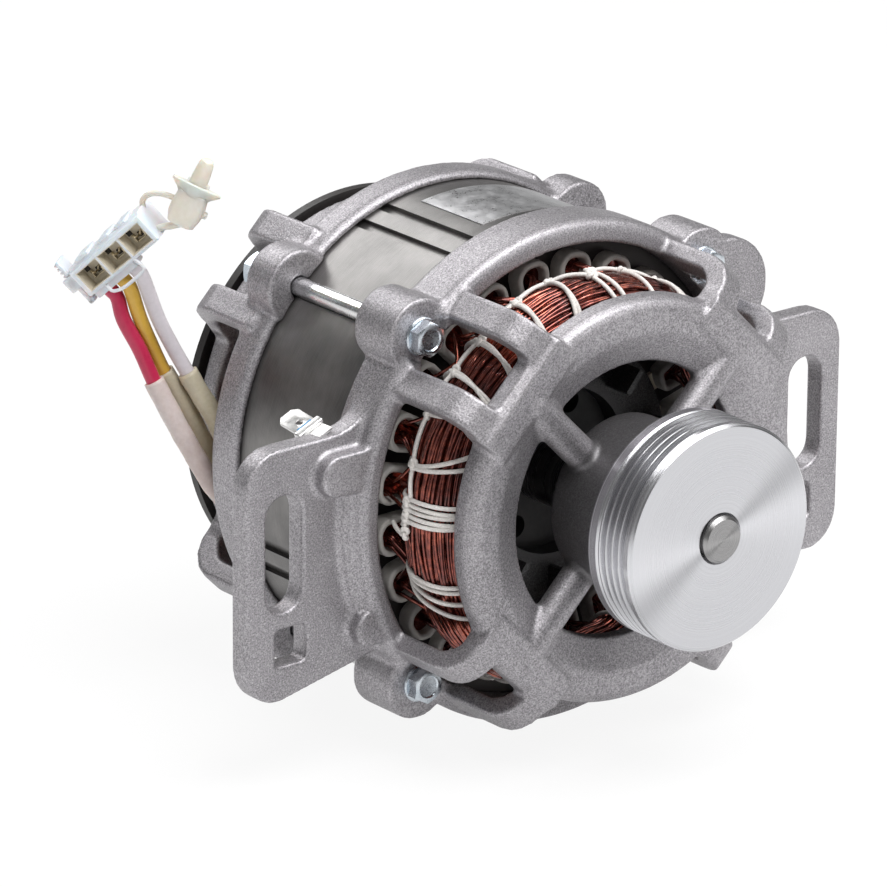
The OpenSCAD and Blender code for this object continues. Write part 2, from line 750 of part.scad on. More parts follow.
module shaft() color([0.72, 0.72, 0.74]) spin() {
    shoulder_y0 = front_bearing_y + bearing_w;
    tail_y = rear_bearing_y + bearing_w;
    end_y = fan_y1 + circlip_t + shaft_tail;
    nose_y = pulley_front_y - shaft_nose;
    polygon([[0, nose_y], [shaft_r - shaft_bevel, nose_y], [shaft_r, nose_y + shaft_bevel],
        [shaft_r, shoulder_y0], [rotor_seat_d / 2, shoulder_y0], [rotor_seat_d / 2, rear_bearing_y],
        [shaft_r, rear_bearing_y], [shaft_r, tail_y + 1], [fan_seat_d / 2, tail_y + 1],
        [fan_seat_d / 2, end_y - chamfer], [fan_seat_d / 2 - chamfer, end_y], [0, end_y]]);
}

module rotor_core() color([0.2, 0.2, 0.21]) difference() {
    rod(rotor_r, stack_y0, stack_y1);
    rod(rotor_seat_d / 2, stack_y0 - over, stack_y1 + over);
    for (i = [0:vent_count - 1]) at_angle(360 * i / vent_count)
        translate([rotor_seat_d / 2 + 8, 0, 0]) rod(vent_d / 2, stack_y0 - over, stack_y1 + over);
}

// Cast end ring with fins, from the stack face out to y, which lies on the side dir
module rotor_ring(face_y, dir) {
    r0 = rotor_seat_d / 2 + 12.5;
    r1 = rotor_r - 1.2;
    ring_len = 6;
    fin_t = 1.6;
    y_ring = face_y + dir * ring_len;
    y_fin = y_ring + dir * fin_h;
    ring(r0, r1, min(face_y, y_ring), max(face_y, y_ring));
    for (i = [0:fin_count - 1]) at_angle(360 * i / fin_count + 14)
        translate([r0 + 3, min(y_ring - dir, y_fin), -fin_t / 2]) cube([r1 - r0 - 6, fin_h + 1, fin_t]);
}

module front_rotor_ring() color([0.6, 0.6, 0.61]) rotor_ring(stack_y0, -1);

module rear_rotor_ring() color([0.6, 0.6, 0.61]) rotor_ring(stack_y1, 1);

module pulley() color([0.82, 0.82, 0.84]) {
    edge = 0.8;
    flat = 0.3;
    collar_y = pulley_back_y - collar_w;
    groove_y = [for (i = [0:groove_count - 1]) collar_y - 0.6 - groove_pitch * (groove_count - i - 0.5)];
    floor_r = pulley_r - groove_depth;
    grooves = [for (y = groove_y) each [[pulley_r, y - groove_pitch / 2 + flat / 2], [floor_r, y - flat / 2],
        [floor_r, y + flat / 2], [pulley_r, y + groove_pitch / 2 - flat / 2]]];
    spin() polygon(concat([[shaft_r + 0.6, pulley_front_y], [pulley_r - edge, pulley_front_y],
        [pulley_r, pulley_front_y + edge]], grooves,
        [[pulley_r, collar_y - 0.4], [pulley_r - 0.6, collar_y], [pulley_r, collar_y + 0.6],
        [pulley_r, pulley_back_y - edge], [pulley_r - edge, pulley_back_y], [pulley_r - 5, pulley_back_y],
        [pulley_r - 6, pulley_back_y - 4], [shaft_r + 6, pulley_back_y - 4], [shaft_r + 5, pulley_back_y],
        [shaft_r, pulley_back_y], [shaft_r, pulley_front_y + 0.6]]));
}

// Bearings: y is the front face

race_r = (shaft_r + bearing_r) / 2;
race_wall = 1.6;

module race_groove(y) {
    translate([0, y + bearing_w / 2, 0]) spin() translate([race_r, 0]) circle(ball_d / 2 + ball_clear);
}

module bearing_outer(y) color([0.6, 0.6, 0.62]) difference() {
    ring(race_r + race_wall, bearing_r, y, y + bearing_w);
    race_groove(y);
    for (f = [y - over, y + bearing_w - 1]) rod(bearing_r - 1.6, f, f + 1 + over);
}

module bearing_inner(y) color([0.66, 0.66, 0.68]) difference() {
    ring(shaft_r, race_r - race_wall, y, y + bearing_w);
    race_groove(y);
}

module bearing_balls(y) color([0.75, 0.75, 0.77]) {
    cage_h = 1.4;
    ring(race_r - 0.9, race_r + 0.9, y + (bearing_w - cage_h) / 2, y + (bearing_w + cage_h) / 2);
    for (i = [0:ball_count - 1]) at_angle(360 * i / ball_count)
        translate([race_r, y + bearing_w / 2, 0]) sphere(d = ball_d);
}

module bearing_shields(y) color([0.5, 0.5, 0.52]) {
    plate = 0.5;
    inset = 0.3;
    for (f = [y + inset, y + bearing_w - inset - plate])
        ring(race_r - race_wall + 0.4, bearing_r - 1.6, f, f + plate);
}

module front_bearing_outer() bearing_outer(front_bearing_y);

module front_bearing_inner() bearing_inner(front_bearing_y);

module front_bearing_balls() bearing_balls(front_bearing_y);

module front_bearing_shields() bearing_shields(front_bearing_y);

module rear_bearing_outer() bearing_outer(rear_bearing_y);

module rear_bearing_inner() bearing_inner(rear_bearing_y);

module rear_bearing_balls() bearing_balls(rear_bearing_y);

module rear_bearing_shields() bearing_shields(rear_bearing_y);

// Spring washer between the front hub's lip and its bearing
module wave_washer() color([0.55, 0.55, 0.57]) {
    y0 = hub_front_y + hub_lip;
    sheet = 0.6;
    r0 = race_r + race_wall + 0.4;
    ring(r0, bearing_r - seat_clear, y0 + (washer_gap - sheet) / 2, y0 + (washer_gap + sheet) / 2);
    waves = 3;
    crest = [bearing_r - r0 - 1, washer_gap / 2, 3];
    for (i = [0:waves - 1], k = [0, 1]) at_angle(360 * (i + k / 2) / waves)
        translate([r0 + 0.3, y0 + k * crest[1], -crest[2] / 2]) cube(crest);
}

module cooling_fan() color([0.1, 0.09, 0.09]) difference() {
    hub_r0 = fan_seat_d / 2 + 6;
    blade = [fan_r - 5 - hub_r0, fan_blade_h + 0.5, 2];
    union() {
        ring(fan_seat_d / 2, fan_r, fan_y0, fan_y0 + fan_plate_t);
        ring(fan_seat_d / 2, hub_r0, fan_y0, fan_y1);
        for (i = [0:fan_blades - 1]) at_angle(360 * i / fan_blades)
            translate([hub_r0 - 1, fan_y1 - blade[1], -blade[2] / 2]) cube(blade);
    }
    rod(fan_seat_d / 2, fan_y0 - over, fan_y1 + over);
}

module fan_circlip() color([0.35, 0.35, 0.36]) difference() {
    w = 2.4;
    ring(fan_seat_d / 2, fan_seat_d / 2 + w, fan_y1, fan_y1 + circlip_t);
    translate([-w / 2, fan_y1 - over, fan_seat_d / 2 - over]) cube([w, circlip_t + 2 * over, w + 2 * over]);
}

// Fasteners and trim

module through_bolts() color([0.76, 0.78, 0.82]) at_bolts() {
    hex_rod(ear_seat_y - head_h, ear_seat_y);
    rod(bolt_d / 2, ear_seat_y - 0.5, rear_ear_y1 + nut_h + bolt_end);
}

module bolt_nuts() color([0.76, 0.78, 0.82]) at_bolts() difference() {
    hex_rod(rear_ear_y1, rear_ear_y1 + nut_h);
    rod(bolt_d / 2, rear_ear_y1 - over, rear_ear_y1 + nut_h + over);
}

// Blade of the earth tab, bent up from its root
module on_blade() {
    translate([0, tab_root, 0]) rotate([tab_rise, 0, 0]) children();
}

module earth_tab() color([0.9, 0.9, 0.9]) tab_place() difference() {
    half = tab_w / 2;
    tip = 1.4;
    union() {
        translate([-tab_w / 2, 0, -tab_t / 2]) cube([tab_w, tab_root + 0.5, tab_t]);
        on_blade() translate([0, 0, -tab_t / 2]) {
            linear_extrude(tab_t) polygon([[-half, 0], [half, 0], [half, tab_len - tip],
                [half - tip, tab_len], [tip - half, tab_len], [-half, tab_len - tip]]);
            translate([-tab_fold_w / 2, 0.4, 0]) cube([tab_fold_w, 2.2, tab_fold_h]);
        }
    }
    on_blade() translate([0, tab_len - tab_hole_in, -tab_t]) cylinder(d = tab_hole_d, h = 2 * tab_t);
}

module label_plate() color([0.85, 0.85, 0.86]) {
    sheet = 0.2;
    y0 = front_rim_back + label_inset;
    at_angle(label_start) rotate([-90, 0, 0]) rotate_extrude(angle = label_turn)
        translate([stator_r, y0]) square([sheet, rear_rim_y0 - y0 - label_inset]);
}

// Leads: each runs on from its route into the connector's underside

function turn_x(v, a) = [v[0], v[1] * cos(a) - v[2] * sin(a), v[1] * sin(a) + v[2] * cos(a)];

function turn_y(v, a) = [v[0] * cos(a) + v[2] * sin(a), v[1], v[2] * cos(a) - v[0] * sin(a)];

function turn_z(v, a) = [v[0] * cos(a) - v[1] * sin(a), v[0] * sin(a) + v[1] * cos(a), v[2]];

function on_connector(v) = connector_pos
    + turn_z(turn_y(turn_x(v, connector_turn[0]), connector_turn[1]), connector_turn[2]);

function lead_path(route, i) = concat(route, [for (z = [-3, 0, lead_hole])
    on_connector([lead_x + i * lead_pitch, 0, z - housing_drop])]);

module sleeve(path, count) {
    run = start_of(path, count);
    pipe(cord_rings(run, sleeve_d / 2), cord_rings(run, sleeve_d / 2 - sleeve_wall));
}

module lead_red() color([0.72, 0.13, 0.26]) tube(cord_rings(lead_path(red_route, -1), lead_d / 2));

module lead_yellow() color([0.82, 0.65, 0.25]) tube(cord_rings(lead_path(yellow_route, 0), lead_d / 2));

module lead_white() color([0.77, 0.74, 0.75]) tube(cord_rings(lead_path(white_route, 1), lead_d / 2));

module sleeve_red() color([0.8, 0.72, 0.68]) sleeve(lead_path(red_route, -1), sleeve_points);

module sleeve_yellow() color([0.78, 0.7, 0.58]) sleeve(lead_path(yellow_route, 0), sleeve_points);

module sleeve_white() color([0.76, 0.71, 0.63]) sleeve(lead_path(white_route, 1), white_sleeve_points);

// Connector

module on_housing() {
    translate(connector_pos) rotate(connector_turn) children();
}

module at_sockets(pitch) {
    for (i = [-1:1]) translate([i * pitch, 0, 0]) children();
}

module connector_housing() color([0.93, 0.93, 0.94]) on_housing() {
    y0 = -housing_depth / 2;
    ear_y = latch_len / 2 + 0.3;
    ear_t = 1.2;
    skirt_w = 3 * lead_pitch + 0.4;
    skirt_inset = 2.5;
    difference() {
        union() {
            cube([housing_w, housing_depth, 2 * housing_top], center = true);
            translate([lead_x - skirt_w / 2, y0 + skirt_inset, -housing_drop])
                cube([skirt_w, housing_depth - 2 * skirt_inset, housing_drop]);
        }
        at_sockets(socket_pitch) translate([-socket_w / 2, y0 - over, socket_z - socket_w / 2])
            cube([socket_w, housing_depth - 4 + over, socket_w]);
        translate([lead_x, 0, 0]) at_sockets(lead_pitch) translate([0, 0, -housing_drop - over])
            cylinder(d = lead_d + 0.2, h = lead_hole + over);
    }
    for (s = [-1, 1]) translate([latch_x - 1.6, s * (ear_y + ear_t / 2) - ear_t / 2, -2])
        cube([-housing_w / 2 - latch_x + 1.6 + over, ear_t, 4]);
    translate([latch_x, 0, 0]) rotate([90, 0, 0])
        cylinder(d = latch_pin_d, h = 2 * ear_y + over, center = true);
}

// Rocker that locks the plug: its upper pad is pressed towards the housing to let go
module connector_latch() color([0.9, 0.9, 0.92]) on_housing() translate([latch_x, 0, 0]) difference() {
    union() {
        rotate([90, 0, 0]) cylinder(r = latch_pin_d / 2 + 0.9, h = latch_len, center = true);
        translate([-latch_t / 2, -latch_len / 2, 1]) cube([latch_t, latch_len, 5.5]);
        translate([-latch_t / 2, -latch_len / 2, -7]) cube([latch_t, latch_len, 6]);
        translate([-latch_t / 2, -latch_len / 2, -7]) cube([latch_t + 0.6, latch_len, 1.4]);
    }
    rotate([90, 0, 0]) cylinder(r = latch_pin_d / 2 + latch_clear, h = latch_len + 2 * over, center = true);
}

module connector_terminals() color([0.75, 0.7, 0.55]) on_housing() at_sockets(socket_pitch) {
    y0 = -housing_depth / 2 + 2.5;
    w = socket_w - 1;
    t = 0.8;
    z0 = socket_z - socket_w / 2;
    prong = housing_depth - 7;
    translate([-w / 2, y0, z0]) cube([w, prong, t]);
    for (s = [-1, 1]) translate([s * (w - t) / 2 - t / 2, y0, z0]) cube([t, prong, socket_w - 1.4]);
}

// Push-in clip, in the connector's frame
module on_clip() {
    on_housing() translate(clip_pos) rotate([0, clip_tilt, 0]) children();
}

module push_clip() color([0.88, 0.85, 0.78]) on_clip() {
    straight = clip_flange[0] - clip_flange[1];
    stem_r = clip_stem_d / 2;
    root_z = clip_flange[2] - 0.5;
    tip_z = clip_flange[2] + clip_stem_len;
    translate([-clip_block[0] / 2, -clip_block[1] / 2, -clip_block[2]]) cube(clip_block);
    linear_extrude(clip_flange[2]) {
        square([straight, clip_flange[1]], center = true);
        for (s = [-1, 1]) translate([s * straight / 2, 0]) circle(d = clip_flange[1]);
    }
    rotate_extrude() polygon([[0, root_z], [stem_r, root_z], [stem_r, tip_z - 2],
        [stem_r - 0.7, tip_z - 0.6], [0, tip_z]]);
}

// Two moulded strands that tie the clip to the housing
module clip_strands() color([0.92, 0.91, 0.89]) on_housing() {
    x = housing_w / 2;
    upper = [[x + 0.15, 2, 3.8], [x + 1.4, 2, 3.9], [x + 3.2, 1.5, 3.2], [x + 4.8, 1, 1.8],
        [x + 5.7, 0.5, -0.2]];
    lower = [[x + 0.15, -1, -3.8], [x + 1.5, -1, -3.9], [x + 3.1, -1, -4.5]];
    for (p = [upper, lower]) tube(cord_rings(p, strand_d / 2, 6));
}

front_end_shield();
front_ring();
front_bearing_hub();
left_flange();
right_flange();
rear_end_shield();
rear_bearing_hub();
stator_core();
slot_liners();
slot_coils();
slot_wedges();
front_winding_core();
front_winding();
front_lacing();
rear_winding_core();
rear_winding();
rear_lacing();
shaft();
rotor_core();
front_rotor_ring();
rear_rotor_ring();
pulley();
front_bearing_outer();
front_bearing_inner();
front_bearing_balls();
front_bearing_shields();
rear_bearing_outer();
rear_bearing_inner();
rear_bearing_balls();
rear_bearing_shields();
wave_washer();
cooling_fan();
fan_circlip();
through_bolts();
bolt_nuts();
earth_tab();
label_plate();
lead_red();
lead_yellow();
lead_white();
sleeve_red();
sleeve_yellow();
sleeve_white();
connector_housing();
connector_terminals();
connector_latch();
push_clip();
clip_strands();
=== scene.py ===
import math
import random

import bmesh
import bpy
from mathutils import Matrix, Vector


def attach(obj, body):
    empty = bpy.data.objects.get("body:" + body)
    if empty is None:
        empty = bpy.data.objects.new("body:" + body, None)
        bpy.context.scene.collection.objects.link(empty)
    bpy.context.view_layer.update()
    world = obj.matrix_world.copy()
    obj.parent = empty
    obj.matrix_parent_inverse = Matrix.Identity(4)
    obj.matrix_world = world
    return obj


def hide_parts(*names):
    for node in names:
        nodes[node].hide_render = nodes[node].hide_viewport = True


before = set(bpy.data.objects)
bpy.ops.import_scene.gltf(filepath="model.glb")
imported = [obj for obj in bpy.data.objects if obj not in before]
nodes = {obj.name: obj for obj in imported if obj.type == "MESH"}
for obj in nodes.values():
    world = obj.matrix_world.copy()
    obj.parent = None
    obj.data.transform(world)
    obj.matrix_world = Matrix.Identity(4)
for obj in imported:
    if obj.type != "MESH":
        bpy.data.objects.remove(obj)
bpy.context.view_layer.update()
mm = 0.001
print("frame loaded:", len(nodes), "nodes")


# shader maths on sockets, written as plain expressions
class Sock:
    def __init__(self, finish, socket):
        self.finish = finish
        self.socket = socket

    def math(self, operation, a, b):
        return self.finish.add("ShaderNodeMath", {"operation": operation}, {0: a, 1: b})

    def __add__(self, other):
        return self.math("ADD", self, other)

    def __radd__(self, other):
        return self.math("ADD", other, self)

    def __sub__(self, other):
        return self.math("SUBTRACT", self, other)

    def __rsub__(self, other):
        return self.math("SUBTRACT", other, self)

    def __mul__(self, other):
        return self.math("MULTIPLY", self, other)

    def __rmul__(self, other):
        return self.math("MULTIPLY", other, self)

    def __truediv__(self, other):
        return self.math("DIVIDE", self, other)

    def __pow__(self, other):
        return self.math("POWER", self, other)

    def __lt__(self, other):
        return self.math("LESS_THAN", self, other)

    def __gt__(self, other):
        return self.math("GREATER_THAN", self, other)


class Finish:
    def __init__(self, name, **plain):
        self.material = bpy.data.materials.new(name)
        self.material.use_nodes = True
        self.tree = self.material.node_tree
        self.shader = self.tree.nodes["Principled BSDF"]
        for socket, value in plain.items():
            self.shader.inputs[socket.replace("_", " ")].default_value = value

    # one node: its type, its settings, then the values or links of its sockets
    def add(self, kind, settings=None, sockets=None, out=0):
        node = self.tree.nodes.new(kind)
        for key, value in (settings or {}).items():
            if key == "stops":
                ramp = node.color_ramp
                while len(ramp.elements) < len(value):
                    ramp.elements.new(0.5)
                for element, (place, colour) in zip(ramp.elements, value):
                    element.position = place
                    element.color = colour
            else:
                setattr(node, key, value)
        for key, value in (sockets or {}).items():
            if isinstance(value, Sock):
                self.tree.links.new(value.socket, node.inputs[key])
            else:
                node.inputs[key].default_value = value
        return Sock(self, node.outputs[out])

    def coords(self):
        return self.add("ShaderNodeTexCoord", out="Object")

    def split(self, vector):
        node = self.add("ShaderNodeSeparateXYZ", {}, {0: vector}).socket.node
        return [Sock(self, output) for output in node.outputs]

    def noise(self, scale, detail=3.0, roughness=0.55, at=None):
        return self.add("ShaderNodeTexNoise", {}, {
            "Vector": at or self.coords(), "Scale": scale, "Detail": detail, "Roughness": roughness})

    # cells, each with its own random tone
    def spots(self, scale):
        return self.add("ShaderNodeTexVoronoi", {}, {"Vector": self.coords(), "Scale": scale}, "Color")

    def squeeze(self, at, scale):
        return self.add("ShaderNodeMapping", {}, {"Vector": at, "Scale": scale})

    def ramp(self, value, stops):
        return self.add("ShaderNodeValToRGB", {"stops": stops}, {0: value})

    def span(self, value, low, high, fromLow=0.0, fromHigh=1.0):
        return self.add("ShaderNodeMapRange", {}, {
            0: value, 1: fromLow, 2: fromHigh, 3: low, 4: high})

    def mix(self, factor, a, b):
        return self.add("ShaderNodeMix", {"data_type": "RGBA"}, {0: factor, 6: a, 7: b}, out=2)

    def feed(self, socket, value):
        self.tree.links.new(value.socket, self.shader.inputs[socket])

    def bump(self, height, strength, distance):
        normal = self.add("ShaderNodeBump", {}, {
            "Height": height, "Strength": strength, "Distance": distance * mm})
        self.feed("Normal", normal)


def rgb(r, g, b):
    return (r, g, b, 1.0)


# camera, fitted to the pulley face and the bolt square
cameraFit = {
    "azimuth": -39.19, "elevation": 19.74, "roll": 0.46, "focalPx": 7000.0, "framePx": 887.0,
    "pxPerMm": 4.1437, "pulleyFacePx": (719.96, 538.62), "pulleyFaceY": -63.0, "sensor": 36.0,
}


def placeCamera(fit):
    a, e, r = (math.radians(fit[k]) for k in ("azimuth", "elevation", "roll"))
    back = Vector((math.sin(a) * math.cos(e), -math.cos(a) * math.cos(e), math.sin(e)))
    flatRight = Vector((math.cos(a), math.sin(a), 0))
    flatUp = back.cross(flatRight)
    right = math.cos(r) * flatRight + math.sin(r) * flatUp
    up = math.cos(r) * flatUp - math.sin(r) * flatRight
    away = fit["focalPx"] / fit["pxPerMm"]
    du, dv = (p - fit["framePx"] / 2 for p in fit["pulleyFacePx"])
    eye = away * back + away / fit["focalPx"] * (dv * up - du * right)
    eye.y += fit["pulleyFaceY"]
    data = bpy.data.cameras.new("photoCamera")
    data.sensor_width = fit["sensor"]
    data.lens = fit["focalPx"] / fit["framePx"] * fit["sensor"]
    data.clip_end = 50
    camera = bpy.data.objects.new("photoCamera", data)
    bpy.context.scene.collection.objects.link(camera)
    turn = Matrix((right, up, back)).transposed().to_4x4()
    camera.matrix_world = Matrix.Translation(eye * mm) @ turn
    bpy.context.scene.camera = camera


placeCamera(cameraFit)
print("camera placed")


# modelling helpers
def alone(obj):
    bpy.ops.object.select_all(action="DESELECT")
    bpy.context.view_layer.objects.active = obj
    obj.select_set(True)
    return obj


def applyModifiers(obj):
    alone(obj)
    for modifier in list(obj.modifiers):
        bpy.ops.object.modifier_apply(modifier=modifier.name)
    return obj


def settle(obj):
    alone(obj)
    bpy.ops.object.transform_apply(location=True, rotation=True, scale=True)
    return obj


def smooth(obj, angle=None):
    alone(obj)
    if angle is None:
        bpy.ops.object.shade_smooth()
    else:
        bpy.ops.object.shade_smooth_by_angle(angle=math.radians(angle))
    return obj


def painted(obj, finish):
    obj.data.materials.clear()
    obj.data.materials.append(finish.material)
    return obj


# a finished piece: its body and the nodes it stands for; the slot argument is not used
def dress(obj, finish, body, slot, stands):
    if finish:
        painted(obj, finish)
    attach(obj, body)
    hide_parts(*stands)
    return obj


def joined(name, parts):
    bpy.ops.object.select_all(action="DESELECT")
    for part in parts:
        part.select_set(True)
    bpy.context.view_layer.objects.active = parts[0]
    if len(parts) > 1:
        bpy.ops.object.join()
    parts[0].name = name
    parts[0].data.name = name
    return parts[0]


# tubes along lists of points in millimetres, as one mesh
def tubes(name, paths, radius, resolution=2, closed=False, caps=True, radii=None):
    curve = bpy.data.curves.new(name, "CURVE")
    curve.dimensions = "3D"
    curve.bevel_depth = radius * mm
    curve.bevel_resolution = resolution
    curve.use_fill_caps = caps
    for number, path in enumerate(paths):
        spline = curve.splines.new("POLY")
        spline.points.add(len(path) - 1)
        spline.points.foreach_set("co", [c for p in path for c in (p[0] * mm, p[1] * mm, p[2] * mm, 1.0)])
        if radii:
            spline.points.foreach_set("radius", radii[number])
        spline.use_cyclic_u = closed
    obj = bpy.data.objects.new(name, curve)
    bpy.context.scene.collection.objects.link(obj)
    alone(obj)
    bpy.ops.object.convert(target="MESH")
    return smooth(bpy.context.view_layer.objects.active)


# even points on a smooth line through the given ones
def flowing(points, step, steps=24):
    p = [Vector(q) for q in points]
    p = [2 * p[0] - p[1]] + p + [2 * p[-1] - p[-2]]
    dense = []
    for i in range(1, len(p) - 2):
        for k in range(steps):
            t = k / steps
            dense.append(0.5 * (2 * p[i] + (p[i + 1] - p[i - 1]) * t
                                + (2 * p[i - 1] - 5 * p[i] + 4 * p[i + 1] - p[i + 2]) * t * t
                                + (3 * p[i] - p[i - 1] - 3 * p[i + 1] + p[i + 2]) * t ** 3))
    dense.append(p[-2])
    length = sum((b - a).length for a, b in zip(dense, dense[1:]))
    count = max(2, round(length / step))
    even, run, goal = [dense[0]], 0.0, length / count
    for a, b in zip(dense, dense[1:]):
        d = (b - a).length
        while run + d >= goal - 1e-9 and len(even) < count:
            even.append(a + (b - a) * ((goal - run) / d))
            goal += length / count
        run += d
    even.append(dense[-1])
    return even


# closed skin over rings of equal point count, in millimetres
def loft(name, rings, loop=False):
    count = len(rings[0])
    shell = bmesh.new()
    made = [[shell.verts.new(Vector(q) * mm) for q in ring] for ring in rings]
    for a, b in zip(made, made[1:] + made[:1] if loop else made[1:]):
        for k in range(count):
            shell.faces.new((a[k], a[(k + 1) % count], b[(k + 1) % count], b[k]))
    if not loop:
        shell.faces.new(made[0][::-1])
        shell.faces.new(made[-1])
    bmesh.ops.recalc_face_normals(shell, faces=shell.faces)
    mesh = bpy.data.meshes.new(name)
    shell.to_mesh(mesh)
    shell.free()
    obj = bpy.data.objects.new(name, mesh)
    bpy.context.scene.collection.objects.link(obj)
    return obj


def rounded(obj, edge, segments):
    bevel = obj.modifiers.new("edge", "BEVEL")
    bevel.width = edge * mm
    bevel.segments = segments
    return applyModifiers(obj)


# box between two corners, in millimetres, with rounded edges
def boxed(name, low, high, edge=0.3):
    bpy.ops.mesh.primitive_cube_add(size=1)
    obj = bpy.context.view_layer.objects.active
    obj.name = name
    obj.scale = [(h - l) * mm for l, h in zip(low, high)]
    obj.location = [(h + l) / 2 * mm for l, h in zip(low, high)]
    settle(obj)
    return rounded(obj, edge, 3) if edge else obj


def carved(obj, cutters, operation="DIFFERENCE"):
    for cutter in cutters:
        cut = obj.modifiers.new("cut", "BOOLEAN")
        cut.operation = operation
        cut.solver = "EXACT"
        cut.object = cutter
    applyModifiers(obj)
    for cutter in cutters:
        bpy.data.objects.remove(cutter)
    return obj


def placed(obj, matrix):
    obj.matrix_world = matrix
    return settle(obj)


def about(r, y, degrees):
    a = math.radians(degrees)
    return Vector((r * math.cos(a), y, r * math.sin(a)))


# leads and their sleeves, on the routes of the solids
leadSet = {
    "lengths": {"red": 74.7, "yellow": 68.7, "white": 63.9}, "diameter": 3.8,
    "sleeveDiameter": 5.2, "sleeveWall": 0.5, "sleeveSwell": 0.02, "sleeveUneven": 0.012,
    "entryX": -5.0, "entryPitch": 4.4, "entryDepths": (-10.2, -7.2, -4.8),
    "connector": (-78.0, 75.6, 54.3), "turn": (4.0, -43.0, -53.0),
    "routes": {
        "red": [(-50.2, 59.6, -19.4), (-54.6, 59.6, -15), (-59.6, 60.2, -9), (-63, 62, -2.2),
                (-66.2, 64.2, 5), (-68.8, 66.8, 12), (-71.2, 69.6, 19), (-73.6, 72, 27), (-76.8, 74.4, 35)],
        "yellow": [(-51.7, 64.8, -14.2), (-53.4, 65.4, -9.5), (-55.8, 66, -4.5), (-58.3, 66.7, 1.2),
                   (-61.2, 68.2, 8), (-63.8, 70, 14), (-66.6, 71.6, 20), (-69.6, 72.8, 27.5),
                   (-72.8, 73, 35)],
        "white": [(-53.2, 59.8, -6.5), (-54.6, 59.8, -2), (-56.5, 60.8, 4), (-58, 62.4, 9),
                  (-60, 64.9, 14), (-62.4, 67.4, 20), (-65.8, 69.4, 27.5), (-69.4, 70.4, 35.5)]},
    "sleevePoints": {"red": 7, "yellow": 7, "white": 6},
}
turnX, turnY, turnZ = (Matrix.Rotation(math.radians(a), 4, axis) for a, axis in zip(leadSet["turn"], "XYZ"))
connectorTurn = turnZ @ turnY @ turnX
connectorPlace = Matrix.Translation(Vector(leadSet["connector"]) * mm) @ connectorTurn


def onConnector(x, y, z):
    return Vector(leadSet["connector"]) + connectorTurn @ Vector((x, y, z))


leads, sleeves, leadPaths = {}, {}, {}
for place, colour in enumerate(("red", "yellow", "white")):
    route = [Vector(p) for p in leadSet["routes"][colour]]
    entryX = leadSet["entryX"] + (place - 1) * leadSet["entryPitch"]
    entries = [onConnector(entryX, 0, z) for z in leadSet["entryDepths"]]
    leadPaths[colour] = flowing(route + entries, 1.6)
    leads[colour] = tubes("lead_" + colour + "_wire", [leadPaths[colour]], leadSet["diameter"] / 2, 6)
    run = flowing(route[:leadSet["sleevePoints"][colour]], 1.0)
    wall = leadSet["sleeveWall"]
    outer = leadSet["sleeveDiameter"] / 2
    random.seed(place + 5)
    swell, uneven = leadSet["sleeveSwell"], leadSet["sleeveUneven"]
    shape = [1 + swell * math.sin(k * 0.9 + place) + random.uniform(-uneven, uneven) for k in range(len(run))]
    sleeves[colour] = tubes("sleeve_" + colour + "_tube", [run], outer - wall / 2, 6,
                            caps=False, radii=[shape])
    thick = sleeves[colour].modifiers.new("wall", "SOLIDIFY")
    thick.thickness = wall * mm
    thick.offset = 0
    applyModifiers(sleeves[colour])
print("leads made")


# cast aluminium: grain, bright specks as painted glints, and painted shade inside the hub's radius
castLook = {
    "grain": 2400, "paintedGlintScale": 2900,
    "hubShadeInner": 22.5, "hubShadeOuter": 24.5, "hubShadeTone": rgb(0.085, 0.083, 0.085),
}


def castFinish(name, dark, light):
    f = Finish(name, Metallic=0.86, Roughness=0.5)
    grain = f.noise(castLook["grain"], 3, 0.65)
    glint = f.spots(castLook["paintedGlintScale"])
    broad = f.noise(38, 3, 0.5)
    tone = f.span(grain, 0.0, 1.0, 0.36, 0.64) * 0.7 + f.span(broad, 0.0, 1.0, 0.3, 0.7) * 0.2
    # painted glints: bright cells added to the colour stand for sparkling reflections
    tone = tone + (glint ** 5) * 0.6
    x, y, z = f.split(f.coords())
    # painted shade: the colour darkens inside the hub's radius, where shade falls
    hub = f.span((x * x + z * z) ** 0.5, 0.75, 0.0, castLook["hubShadeInner"] * mm, castLook["hubShadeOuter"] * mm)
    f.feed("Base Color", f.mix(hub, f.mix(tone, dark, light), castLook["hubShadeTone"]))
    f.feed("Roughness", f.span(grain, 0.4, 0.62) - (glint ** 6) * 0.16)
    f.bump(grain + f.noise(420, 2) * 0.15, 0.6, 0.14)
    return f


# stacked sheets: a line for each sheet, and painted shade on the end faces
stackLook = {"sheet": 0.5, "front": 4.05, "back": 48.95}


def laminatedFinish(name):
    f = Finish(name, Metallic=0.95, Roughness=0.36)
    x, y, z = f.split(f.coords())
    sheet = f.add("ShaderNodeMath", {"operation": "FRACT"}, {0: y * (1 / (stackLook["sheet"] * mm))})
    line = f.span((sheet - 0.5) * (sheet - 0.5), 0.0, 1.0, 0.12, 0.25)
    streak = f.noise(260, 3, 0.6, f.squeeze(f.coords(), (1, 14, 1)))
    stain = f.noise(30, 4, 0.6)
    tone = f.span(stain, 0.0, 0.65, 0.35, 0.7) + streak * 0.35 - line * 0.2
    # painted shade: the stack's front and back end faces are darkened, as they lie in shade between the cuffs
    shadedEnds = (y < stackLook["front"] * mm) + (y > stackLook["back"] * mm)
    side = f.mix(tone, rgb(0.10, 0.097, 0.096), rgb(0.36, 0.35, 0.34))
    f.feed("Base Color", f.mix(shadedEnds, side, rgb(0.05, 0.046, 0.045)))
    f.feed("Roughness", f.span(stain, 0.26, 0.46) + line * 0.1)
    f.bump(line * -1.0 + streak * 0.15, 0.3, 0.06)
    return f
